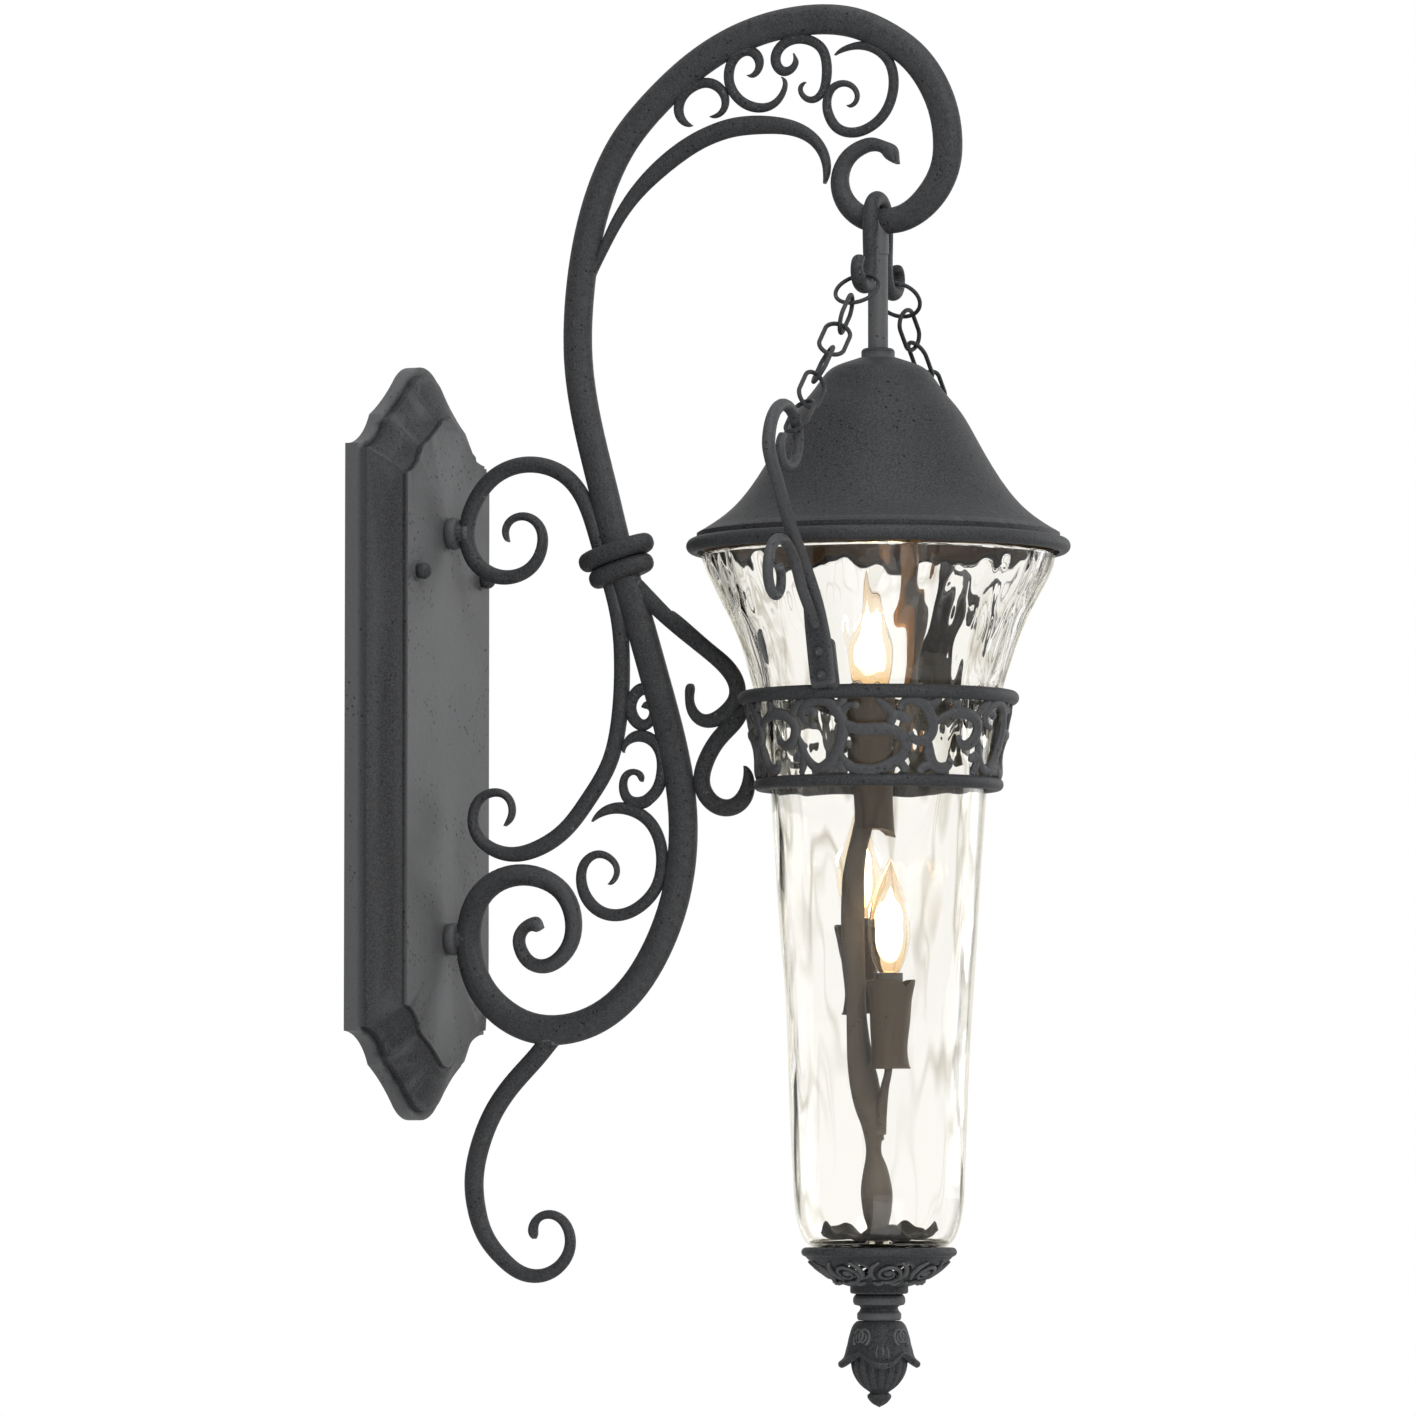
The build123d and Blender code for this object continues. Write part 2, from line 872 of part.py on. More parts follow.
# The lower front scroll is seated against the band that it steadies
front_lower_bar = coped(
    bracket_bar(front_scroll_lower_shares, scroll_width, scroll_depth, 0.12, 0.15),
    arm_bar,
    front_upper_bar,
    band_upper_ring.part,
)
tail_bar = coped(bracket_bar(tail_scroll_shares, tail_width, tail_depth, 0, 0.55), arm_bar)
large_bar = coped(
    bracket_bar(spandrel_large_shares, spandrel_width, spandrel_depth, 0.1, 0.3), arm_bar, rear_bar
)
middle_bar = coped(
    bracket_bar(spandrel_middle_shares, spandrel_width, spandrel_depth, 0.15, 0.35),
    arm_bar,
    rear_bar,
    large_bar,
)
small_bar = coped(
    bracket_bar(spandrel_small_shares, spandrel_width, spandrel_depth, 0.1, 0.4),
    arm_bar,
    rear_bar,
    middle_bar,
)
rib_bar = coped(bracket_bar(hook_rib_shares, rib_width, rib_depth, 0.4, 0.3), arm_bar)
hook_bars = []
for shares in hook_scroll_shares:
    bar = bracket_bar(shares, filigree_width, filigree_depth, 0.15, 0.3)
    hook_bars.append(coped(bar, arm_bar, rib_bar, *hook_bars))

# Collar: two stacked beads that bind the bars below the upper stay
collar_centre_shares = (0.323, 0.247)
collar_lean_shares = (-0.068, 0.226)
collar_plane = Plane(
    origin=bracket_plane.from_local_coords(Vector(*spots(bracket_span, collar_centre_shares)[0])),
    x_dir=bracket_plane.z_dir,
    z_dir=bracket_plane.from_local_coords(Vector(*collar_lean_shares)),
)
with BuildPart() as collar_beads:
    for share, lift in ((1.0, 0.0), (collar_lower_share, -collar_bead)):
        with BuildPart(mode=Mode.PRIVATE) as bead:
            with BuildSketch(collar_plane.offset(lift)):
                Ellipse(collar_half_depth * share, collar_half_length * share)
            extrude(amount=collar_bead)
            fillet(bead.edges(), collar_bead * collar_round_share)
        add(bead.part)
with BuildPart() as collar:
    add(collar_beads.part)
    for bar in (arm_bar, upper_bar, rear_bar, front_upper_bar):
        add(bar, mode=Mode.SUBTRACT)


# Wall plate: a hollow stepped casting with a pad and webs that reach the wall
def plate_tier(low_inset, low, high_inset, high):
    """One tier of the plate, between two of its outlines."""
    with BuildPart() as tier:
        add(plate_layer(low_inset, low))
        add(plate_layer(high_inset, high))
        loft(ruled=True)
    return tier.part


def plate_body(draw_in, lift):
    """The stepped body of the plate, drawn in from its sides and its front by a wall."""
    tiers = [
        plate_tier(draw_in, 0, draw_in, plate_edge - lift),
        plate_tier(step_inset + draw_in, plate_edge - lift, step_inset + draw_in, step_top - lift),
        plate_tier(step_inset + draw_in, step_top - lift, bevel_inset + draw_in, bevel_top - lift),
        plate_tier(panel_inset + draw_in, bevel_top - lift, panel_inset + draw_in, panel_top - lift),
    ]
    with BuildPart() as body:
        for tier in tiers:
            add(tier)
    return body.part


boss_spots = [(0, bracket_span * upper_boss_share), (0, bracket_span * lower_boss_share)]
with BuildPart() as plate_webs:
    with BuildSketch(wall_plane):
        Rectangle(plate_width, plate_web)
        Circle(plate_pad_radius)
    extrude(amount=panel_top)
    add(plate_body(plate_wall / 2, plate_wall / 2), mode=Mode.INTERSECT)
with BuildPart() as wall_plate:
    add(plate_body(0, 0))
    add(plate_body(plate_wall, plate_wall), mode=Mode.SUBTRACT)
    add(plate_webs.part)
    with BuildSketch(wall_plane.offset(panel_top + cut_overrun)):
        with Locations(*crossbar_spots):
            Circle(stud_radius + stud_clearance)
        with Locations(*boss_spots):
            Circle(boss_bolt_radius + thread_gap)
    extrude(amount=-panel_top - 2 * cut_overrun, mode=Mode.SUBTRACT)

# Crossbar on the junction box, with its studs and the ground screw
with BuildPart() as mounting_bar:
    with BuildSketch(wall_plane):
        with Locations((0, crossbar_height)):
            SlotOverall(crossbar_length, crossbar_width)
        with Locations(*crossbar_spots):
            Circle(stud_radius + thread_gap, mode=Mode.SUBTRACT)
        with Locations((0, crossbar_height)):
            with GridLocations(box_screw_spacing, crossbar_width, 2, 1):
                Circle(box_screw_radius, mode=Mode.SUBTRACT)
        with Locations((ground_screw_place, crossbar_height)):
            Circle(ground_screw_radius + thread_gap, mode=Mode.SUBTRACT)
    extrude(amount=crossbar_thickness)

stud_tip = panel_top + cap_nut_flange_height + cap_nut_radius
with BuildPart() as bar_screws:
    with BuildSketch(wall_plane):
        with Locations(*crossbar_spots):
            Circle(stud_radius)
    extrude(amount=stud_tip)
    with BuildSketch(wall_plane):
        with Locations((ground_screw_place, crossbar_height)):
            Circle(ground_screw_radius)
    extrude(amount=crossbar_thickness)
    with BuildSketch(wall_plane.offset(crossbar_thickness)):
        with Locations((ground_screw_place, crossbar_height)):
            RegularPolygon(ground_screw_head, 6)
    extrude(amount=ground_screw_head_height)

cap_nuts = {}
for name, spot in zip(("cap_nut_left", "cap_nut_right"), crossbar_spots):
    nut_plane = wall_plane * Location(spot)
    with BuildPart() as cap_nut:
        with BuildSketch(Plane(nut_plane).offset(panel_top)):
            Circle(cap_nut_flange)
        extrude(amount=cap_nut_flange_height)
        with Locations(Plane(nut_plane).offset(panel_top + cap_nut_flange_height + cap_nut_sink)):
            Sphere(cap_nut_radius)
        with BuildSketch(Plane(nut_plane).offset(panel_top)):
            Circle(cap_nut_radius + cut_overrun)
        extrude(amount=-cap_nut_radius, mode=Mode.SUBTRACT)
        with BuildSketch(Plane(nut_plane).offset(panel_top)):
            Circle(stud_radius + thread_gap)
        extrude(amount=stud_tip - panel_top + running_gap, mode=Mode.SUBTRACT)
    cap_nuts[name] = cap_nut

# Bosses that stand the bracket off the plate, and their bolts
boss_reach = [bracket_span * upper_touch_share, bracket_span * lower_touch_share]
boss_bars = [upper_bar, arm_bar]
bar_widths = [stay_width, arm_width]
with BuildPart() as boss_blanks:
    for spot, far in zip(boss_spots, boss_reach):
        with BuildSketch(wall_plane.offset(panel_top)):
            with Locations(spot):
                Circle(boss_radius)
        extrude(amount=boss_flange)
        with BuildSketch(wall_plane.offset(panel_top + boss_flange)):
            with Locations(spot):
                Circle(boss_neck_radius)
        extrude(amount=far - panel_top - boss_flange)
with BuildPart() as boss_bolts:
    for spot, far, width in zip(boss_spots, boss_reach, bar_widths):
        with BuildSketch(wall_plane.offset(panel_top - plate_wall)):
            with Locations(spot):
                RegularPolygon(boss_bolt_head_radius, 6)
        extrude(amount=-boss_bolt_head)
        with BuildSketch(wall_plane.offset(panel_top - plate_wall)):
            with Locations(spot):
                Circle(boss_bolt_radius)
        extrude(amount=far - width / 2 + boss_bolt_grip - panel_top + plate_wall)
with BuildPart() as bolt_holes:
    for spot, far, width in zip(boss_spots, boss_reach, bar_widths):
        with BuildSketch(wall_plane):
            with Locations(spot):
                Circle(boss_bolt_radius + thread_gap)
        extrude(amount=far - width / 2 + boss_bolt_grip + running_gap)
with BuildPart() as bracket_bosses:
    add(boss_blanks.part)
    for bar in boss_bars:
        add(bar, mode=Mode.SUBTRACT)
    add(bolt_holes.part, mode=Mode.SUBTRACT)
upper_bar_drilled = coped(upper_bar, bolt_holes.part)
arm_bar_drilled = coped(arm_bar, bolt_holes.part)

# Strap over the hook: down both sides of it, with a curl at each end for a chain
strap_curl_level = hook_top - strap_drop
strap_curl_centre = (strap_leg + strap_curl_radius, strap_curl_level)
strap_top_level = hook_top - strap_seat + strap_radius - strap_leg
strap_curl = [
    (strap_curl_centre[0] + across, strap_curl_centre[1] + up)
    for across, up in curl(strap_curl_radius, (0, 0), strap_tip_share, 1.0, 45, -45)
    + curl(strap_curl_radius, (0, 0), 1.0, 1.0, -turn_step, turn_step - 180)
]
strap_saddle = [
    (across, up + strap_top_level) for across, up in curl(strap_leg, (0, 0), 1.0, 1.0, 0, 180)
]
strap_path = strap_curl + strap_saddle + [(-across, up) for across, up in reversed(strap_curl)]
strap_bar = coped(
    forged_bar(front_plane, strap_path, 2 * strap_radius, 2 * strap_radius, 0.1, 0.1), arm_bar
)

# Stem: coupling under the hook, tube, collar on the roof and nut inside it
stem_top = hook_underside - coupling_height / 2
with BuildPart() as stem_coupling:
    with Locations((0, -reach, hook_underside - coupling_height)):
        Cylinder(
            coupling_radius,
            coupling_height + arm_width / 2,
            align=(Align.CENTER, Align.CENTER, Align.MIN),
        )
        Cylinder(
            stem_radius,
            coupling_height / 2,
            align=(Align.CENTER, Align.CENTER, Align.MIN),
            mode=Mode.SUBTRACT,
        )
    fillet(stem_coupling.edges().filter_by(GeomType.CIRCLE).group_by(Axis.Z)[0][-1:], coupling_round)
    add(arm_bar, mode=Mode.SUBTRACT)

with BuildPart() as stem:
    with BuildSketch(level(stem_bottom)):
        Circle(stem_radius)
        Circle(stem_bore, mode=Mode.SUBTRACT)
    extrude(amount=stem_top - stem_bottom)

with BuildPart() as stem_collar:
    with BuildSketch(level(roof_top)):
        Circle(collar_nut_radius)
    extrude(amount=collar_nut_height)
    fillet(stem_collar.edges().group_by(Axis.Z)[-1], collar_nut_round)
    with BuildSketch(level(roof_top)):
        Circle(stem_radius + thread_gap)
    extrude(amount=collar_nut_height, mode=Mode.SUBTRACT)

with BuildPart() as stem_nut:
    with BuildSketch(level(roof_top - roof_wall - running_gap)):
        RegularPolygon(stem_nut_radius, 6)
        Circle(stem_radius, mode=Mode.SUBTRACT)
    extrude(amount=-stem_nut_height)


# Chains: a ring on each curl of the strap, then twisted links down to the eye of an arm
def on_circle(centre, radius, angle):
    """A point on a circle, in the plane across the bracket."""
    return Vector(centre[0] + radius * cos(radians(angle)), centre[1] + radius * sin(radians(angle)))


eye_part_way = (chain_eye_angle - arm_eye_start_angle) / arm_eye_turn
eye_radius = roof_radius * (
    arm_eye_start_share + (arm_eye_end_share - arm_eye_start_share) * eye_part_way
)
eye_centre = from_ring(spots(roof_radius, arm_eye_centre_shares))[0]
hook_point = on_circle(strap_curl_centre, strap_curl_radius, chain_hook_angle)
eye_point = on_circle(eye_centre, eye_radius, chain_eye_angle)
chain_run = eye_point - hook_point
ring_inner = ring_radius - ring_wire
ring_offset = ring_inner - strap_radius * strap_lean_share - running_gap
ring_to_eye = chain_run.length - ring_offset
link_length = (
    ring_to_eye + arm_wire_width / 2 - ring_inner + chain_slack + (links_per_chain + 1) * running_gap
) / links_per_chain
chain_heading = front_plane.from_local_coords(chain_run) - front_plane.origin
chain_along = chain_heading.normalized()
chain_across = chain_along.cross(Vector(0, 1, 0))
ring_centre = front_plane.from_local_coords(hook_point) + chain_along * ring_offset

chain_pieces = {}
with BuildPart() as ring_front:
    with Locations(Plane(origin=ring_centre, x_dir=chain_along, z_dir=chain_across)):
        Torus(ring_radius, ring_wire)
chain_pieces["ring"] = ring_front.part
for number in range(links_per_chain):
    near_end = ring_inner - running_gap + number * (link_length - running_gap)
    turned = radians(90 + link_twist * (number + 1))
    link_plane = Plane(
        origin=ring_centre + chain_along * (near_end + link_length / 2),
        x_dir=chain_along,
        z_dir=Vector(0, 1, 0) * cos(turned) + chain_across * sin(turned),
    )
    straight = link_length / 2 + link_wire - link_half_width
    bend = straight + link_half_width
    with BuildPart() as link:
        with BuildLine(link_plane) as link_path:
            Line((-straight, link_half_width), (straight, link_half_width))
            ThreePointArc((straight, link_half_width), (bend, 0), (straight, -link_half_width))
            Line((straight, -link_half_width), (-straight, -link_half_width))
            ThreePointArc((-straight, -link_half_width), (-bend, 0), (-straight, link_half_width))
        with BuildSketch(Plane(origin=link_path.wire() @ 0, z_dir=link_path.wire() % 0)):
            Circle(link_wire)
        sweep()
    chain_pieces[f"link{number + 1}"] = link.part

# Roof: a thin bell with a rounded rim that the shade tucks into
roof_outline_shares = (
    (0.945, 0.053),
    (0.945, 0.103),
    (0.878, 0.142),
    (0.756, 0.234),
    (0.673, 0.328),
    (0.585, 0.459),
    (0.512, 0.586),
    (0.426, 0.728),
    (0.322, 0.855),
    (0.249, 0.942),
    (0.172, 0.977),
    (0.102, 1.0),
)


def scaled(shares, radius, height, base):
    """An outline given as shares of a radius and of a height above a base."""
    return [(radius * across, base + height * up) for across, up in shares]


roof_outline = scaled(roof_outline_shares, roof_radius, roof_height, roof_rim)
roof_inner = wall_section(roof_outline, roof_wall)
stem_hole = stem_radius + running_gap
with BuildPart() as roof:
    with BuildSketch(lantern_plane):
        with BuildLine():
            Line(roof_outline[0], roof_outline[1])
            Spline(*roof_outline[1:])
            Polyline(
                roof_outline[-1],
                (stem_hole, roof_top),
                (stem_hole, roof_top - roof_wall),
                roof_inner[-1],
            )
            Spline(*reversed(roof_inner[1:]))
            Polyline(roof_inner[1], roof_inner[0], roof_outline[0])
        make_face()
        with Locations((roof_radius - roof_bead, roof_rim + roof_bead)):
            Circle(roof_bead)
    revolve(axis=lantern_axis)
    with BuildSketch(level(roof_rim)):
        Circle(glass_radius + rim_gap)
    extrude(amount=glass_tuck + rim_gap, mode=Mode.SUBTRACT)

# Shade: an open glass tulip that stands on its floor
glass_outline_shares = (
    (0.372, 0),
    (0.410, 0.020),
    (0.456, 0.057),
    (0.474, 0.113),
    (0.505, 0.296),
    (0.551, 0.481),
    (0.600, 0.662),
    (0.705, 0.809),
    (0.803, 0.887),
    (0.880, 0.929),
    (0.956, 0.965),
    (1.0, 1.0),
)
glass_outline = scaled(glass_outline_shares, glass_radius, glass_height, glass_bottom)
glass_inner = wall_section(glass_outline, glass_wall)
glass_foot = glass_outline[0][0]
with BuildPart() as glass_shade:
    with BuildSketch(lantern_plane):
        with BuildLine():
            Spline(*glass_outline)
            Line(glass_outline[-1], glass_inner[-1])
            Spline(*reversed(glass_inner))
            Line(glass_inner[0], glass_outline[0])
        make_face()
        with Locations(((glass_foot + glass_hole) / 2, glass_bottom + glass_wall / 2)):
            Rectangle(glass_foot - glass_hole, glass_wall)
    revolve(axis=lantern_axis)

# Bottom cup: a pierced bowl with a rim and a ledge for the shade, on a turned neck
cup_outline_shares = (
    (0.374, -0.986),
    (0.487, -0.914),
    (0.722, -0.571),
    (0.903, -0.321),
    (0.975, -0.161),
)
neck_shares = (
    (1.0, -0.17),
    (0.96, -0.21),
    (0.8, -0.23),
    (0.86, -0.28),
    (0.9, -0.36),
    (0.9, -0.46),
    (0.86, -0.54),
    (0.68, -0.58),
    (0.64, -0.63),
    (0.68, -0.72),
    (0.76, -0.80),
    (0.76, -0.94),
    (0.72, -1.0),
)
cup_outline = scaled(cup_outline_shares, cup_radius, cup_height, glass_bottom)
cup_inner = wall_section(cup_outline, cup_wall)
neck_top = cup_outline[0][1]
neck_bottom = neck_top - cup_neck_height
rod_hole = rod_radius + thread_gap
window_spot = (Vector(*cup_outline[2]) + Vector(*cup_inner[2])) / 2
window_slope = Vector(*cup_inner[2]) - Vector(*cup_outline[2])
with BuildPart() as window_tool:
    with Locations(
        Plane(
            origin=lantern_plane.from_local_coords(window_spot),
            z_dir=lantern_plane.from_local_coords(window_slope) - lantern_plane.origin,
        )
    ):
        Cylinder(cup_window_radius, cup_wall + 2 * cut_overrun)
with BuildPart() as bottom_cup:
    with BuildSketch(lantern_plane):
        with BuildLine():
            Spline(*cup_outline)
            Line(cup_outline[-1], cup_inner[-1])
            Spline(*reversed(cup_inner))
            Line(cup_inner[0], cup_outline[0])
        make_face()
        with BuildLine():
            Polyline(
                (rod_hole, neck_bottom),
                (rod_hole, neck_top + cup_wall),
                (cup_neck_radius, neck_top + cup_wall),
                *scaled(neck_shares, cup_neck_radius, cup_neck_height, neck_top),
                close=True,
            )
        make_face()
        with Locations((cup_radius - cup_rim, glass_bottom - cup_rim)):
            Circle(cup_rim)
        with Locations((cup_radius - cup_rim - cup_ledge / 2, glass_bottom - cup_wall / 2)):
            Rectangle(cup_ledge, cup_wall)
    revolve(axis=lantern_axis)
    for number in range(cup_window_count):
        add(window_tool.part.rotate(lantern_axis, number * 360 / cup_window_count), mode=Mode.SUBTRACT)

# Finial: a ring of petals over a fluted bud, turned onto the rod
petal_shares = (
    (0.507, 0),
    (0.662, -0.073),
    (0.774, -0.268),
    (0.868, -0.423),
    (1.0, -0.488),
)
bud_shares = (
    (0.946, -0.545),
    (0.639, -0.569),
    (0.590, -0.650),
    (0.440, -0.750),
    (0.253, -0.821),
    (0.267, -0.846),
    (0.267, -0.910),
    (0.150, -0.970),
)
finial_top = neck_bottom - running_gap
petal_outline = scaled(petal_shares, finial_radius, finial_height, finial_top)
bud_outline = scaled(bud_shares, finial_radius, finial_height, finial_top)
petal_bottom = bud_outline[1][1]
with BuildPart() as finial:
    with BuildSketch(lantern_plane):
        with BuildLine():
            Spline(*petal_outline)
            Polyline(
                petal_outline[-1],
                *bud_outline,
                (0, finial_top - finial_height),
                (0, finial_top),
                petal_outline[0],
            )
        make_face()
    revolve(axis=lantern_axis)
    with BuildSketch(level(petal_bottom)):
        with PolarLocations(finial_radius + finial_notch_radius * notch_out_share, finial_petals):
            Circle(finial_notch_radius)
    extrude(amount=finial_height * notch_rise_share, mode=Mode.SUBTRACT)
    with BuildSketch(level(finial_top)):
        Circle(rod_hole)
    extrude(amount=-rod_grip - running_gap, mode=Mode.SUBTRACT)

# Vine that carries the lights, on a turned foot that clamps the floor of the shade
vine_foot = glass_bottom + glass_wall
foot_shares = (
    (1.0, 0),
    (1.0, 0.0625),
    (0.5, 0.167),
    (0.375, 0.375),
    (0.74, 0.646),
    (0.375, 0.917),
    (0.28, 1.0),
)
vine_shares = (
    (0, 0.020),
    (0, 0.105),
    (-0.009, 0.226),
    (-0.025, 0.304),
    (-0.042, 0.421),
    (-0.052, 0.516),
    (-0.064, 0.684),
    (-0.066, 0.805),
    (-0.064, 0.886),
    (-0.047, 0.960),
    (-0.018, 1.0),
)
front_branch_shares = (
    (0, 0.1135),
    (0.040, 0.215),
    (0.067, 0.342),
    (0.0714, 0.423),
)
rear_branch_shares = (
    (0, 0.248),
    (0.034, 0.316),
    (0.088, 0.417),
    (0.111, 0.501),
    (0.116, 0.558),
)
feed_shares = (
    (0.010, 1.982),
    (0.040, 1.864),
    (0.067, 1.730),
    (0.081, 1.561),
    (0.084, 1.359),
    (0.081, 1.157),
    (0.074, 1.023),
    (0.047, 0.955),
    (0, 0.905),
    (-0.054, 0.868),
)
vine_path = scaled(vine_shares, vine_height, vine_height, vine_foot)
front_branch = scaled(front_branch_shares, vine_height, vine_height, vine_foot)
rear_branch = scaled(rear_branch_shares, vine_height, vine_height, vine_foot)
feed_start = [(0, stem_bottom + feed_tuck), (0, stem_bottom + feed_tuck / 2), (0, stem_bottom)]
feed_path = feed_start + scaled(feed_shares, vine_height, vine_height, vine_foot)
feed_rod = forged_bar(upright(vine_turn), feed_path, 2 * feed_radius, 2 * feed_radius)
with BuildPart() as vine_stem:
    add(forged_bar(upright(vine_turn), vine_path, vine_width, vine_depth))
    add(forged_bar(upright(front_branch_turn), front_branch, branch_width, branch_width))
    add(forged_bar(upright(rear_branch_turn), rear_branch, branch_width, branch_width))
    with BuildSketch(lantern_plane):
        with BuildLine():
            foot_points = scaled(foot_shares, vine_base_radius, vine_base_height, vine_foot)
            Polyline((0, vine_foot), *foot_points, (0, foot_points[-1][1]), close=True)
        make_face()
    revolve(axis=lantern_axis)
    with BuildSketch(level(vine_foot)):
        Circle(rod_radius)
    extrude(amount=rod_tuck, mode=Mode.SUBTRACT)
    add(feed_rod, mode=Mode.SUBTRACT)

with BuildPart() as centre_rod:
    with BuildSketch(level(vine_foot + rod_tuck)):
        Circle(rod_radius)
    extrude(amount=finial_top - rod_grip - vine_foot - rod_tuck)

with BuildPart() as feed_tube:
    add(feed_rod)
    add(forged_bar(upright(vine_turn), feed_path, 2 * feed_bore, 2 * feed_bore), mode=Mode.SUBTRACT)

# Lights: a cup, a lampholder and a candle bulb at the end of the vine and of each branch
candle_shares = (
    (0.57, 0),
    (0.85, 0.035),
    (1.0, 0.12),
    (0.98, 0.45),
    (1.0, 0.80),
    (1.15, 1.0),
)
tulip_shares = (
    (0.457, 0),
    (0.657, 0.097),
    (0.714, 0.403),
    (0.829, 0.726),
    (1.0, 1.0),
)
bulb_shares = (
    (0.40, 0),
    (0.62, 0.07),
    (0.88, 0.20),
    (1.0, 0.34),
    (0.94, 0.48),
    (0.76, 0.63),
    (0.48, 0.79),
    (0.20, 0.93),
)
candle_outline = scaled(candle_shares, candle_radius, candle_height, 0)
tulip_outline = scaled(tulip_shares, cup_top_radius, tulip_height, 0)
bulb_outline = scaled(bulb_shares, bulb_radius, bulb_length, 0)
bulb_inner = wall_section(bulb_outline, bulb_wall)
seat_depth = holder_height - holder_proud


def light_plane(turn, path, lift):
    """Upright plane through the axis of a light, at a height above the base of its cup."""
    across, up = path[-1]
    base = upright(turn).from_local_coords(Vector(across, up - vine_tuck + lift, 0))
    return Plane(origin=base, x_dir=(1, 0, 0), z_dir=(0, -1, 0))


def flat_plane(plane, lift):
    """The level plane at a height above the origin of an upright one."""
    return Plane(origin=plane.origin + Vector(0, 0, lift), x_dir=(1, 0, 0), z_dir=(0, 0, 1))


cup_solids = []
holder_solids = []
bulbs = {}
for name, turn, path, outline in (
    ("top", vine_turn, vine_path, candle_outline),
    ("front", front_branch_turn, front_branch, tulip_outline),
    ("rear", rear_branch_turn, rear_branch, tulip_outline),
):
    cup_height_here = outline[-1][1]
    seat = cup_height_here - seat_depth
    cup_plane = light_plane(turn, path, 0)
    light_axis = Axis(cup_plane.origin, (0, 0, 1))
    with BuildPart() as candle_cup:
        with BuildSketch(cup_plane):
            with BuildLine():
                Spline(*outline)
                Polyline(outline[-1], (0, cup_height_here), (0, 0), outline[0])
            make_face()
        revolve(axis=light_axis)
        with BuildSketch(flat_plane(cup_plane, seat)):
            Circle(holder_radius)
        extrude(amount=seat_depth, mode=Mode.SUBTRACT)
        with BuildSketch(flat_plane(cup_plane, candle_base)):
            Circle(holder_bore)
        extrude(amount=seat - candle_base, mode=Mode.SUBTRACT)
        add(vine_stem.part, mode=Mode.SUBTRACT)
    cup_solids.append(candle_cup.part)
    with BuildPart() as lampholder:
        with BuildSketch(flat_plane(cup_plane, seat)):
            Circle(holder_radius)
        extrude(amount=holder_height)
        with BuildSketch(flat_plane(cup_plane, seat + holder_height)):
            Circle(holder_bore)
        extrude(amount=-holder_depth, mode=Mode.SUBTRACT)
    holder_solids.append(lampholder.part)
    bulb_base = seat + holder_height + bulb_lift
    with BuildPart() as bulb_cap:
        with BuildSketch(flat_plane(cup_plane, bulb_base)):
            Circle(bulb_cap_radius)
        extrude(amount=-bulb_cap_height)
    with BuildPart() as bulb:
        with BuildSketch(light_plane(turn, path, bulb_base)):
            with BuildLine():
                Spline(*bulb_outline, (0, bulb_length))
                Line((0, bulb_length), (0, bulb_length - bulb_tip_wall))
                Spline((0, bulb_length - bulb_tip_wall), *reversed(bulb_inner))
                Line(bulb_inner[0], bulb_outline[0])
            make_face()
        revolve(axis=light_axis)
    bulbs[f"bulb_{name}"] = bulb.part
    bulbs[f"bulb_cap_{name}"] = bulb_cap.part

with BuildPart() as candle_cups:
    for solid in cup_solids:
        add(solid)
with BuildPart() as lampholders:
    for solid in holder_solids:
        add(solid)

# Every piece, under the name of its file
pieces = {
    "mounting_bar": mounting_bar.part,
    "bar_screws": bar_screws.part,
    "cap_nut_left": cap_nuts["cap_nut_left"].part,
    "cap_nut_right": cap_nuts["cap_nut_right"].part,
    "wall_plate": wall_plate.part,
    "bracket_bosses": bracket_bosses.part,
    "boss_bolts": boss_bolts.part,
    "main_arm": arm_bar_drilled,
    "collar": collar.part,
    "upper_stay": upper_bar_drilled,
    "rear_stay": rear_bar,
    "front_scroll_upper": front_upper_bar,
    "front_scroll_lower": front_lower_bar,
    "tail_scroll": tail_bar,
    "spandrel_large": large_bar,
    "spandrel_middle": middle_bar,
    "spandrel_small": small_bar,
    "hook_rib": rib_bar,
    "hanger_strap": strap_bar,
    "stem_coupling": stem_coupling.part,
    "stem": stem.part,
    "stem_collar": stem_collar.part,
    "stem_nut": stem_nut.part,
    "roof": roof.part,
    "arm_front": side_arms["arm_front"].part,
    "arm_back": side_arms["arm_back"].part,
    "arm_rivets": arm_rivets.part,
    "band_upper_ring": band_upper_ring.part,
    "band_lower_ring": band_lower_ring.part,
    "band_scrolls": band_scrolls.part,
    "glass_shade": glass_shade.part,
    "bottom_cup": bottom_cup.part,
    "centre_rod": centre_rod.part,
    "finial": finial.part,
    "vine_stem": vine_stem.part,
    "feed_tube": feed_tube.part,
    "candle_cups": candle_cups.part,
    "lampholders": lampholders.part,
}
for number, bar in enumerate(hook_bars, start=1):
    pieces[f"hook_scroll_{number}"] = bar
for name, piece in chain_pieces.items():
    label = "ring_{}" if name == "ring" else f"link_{{}}_{name[-1]}"
    pieces[label.format("front")] = piece
    pieces[label.format("back")] = mirror(piece, about=Plane.YZ)
pieces.update(bulbs)
for name, piece in pieces.items():
    piece.label = name
    export_step(piece, f"parts/{name}.step")
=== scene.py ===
"""Outdoor wall light: the looks of the scrolled bracket, the lantern and its lights."""

import json
from math import atan2, cos, pi, radians, sin

import bpy
from mathutils import Matrix, Vector


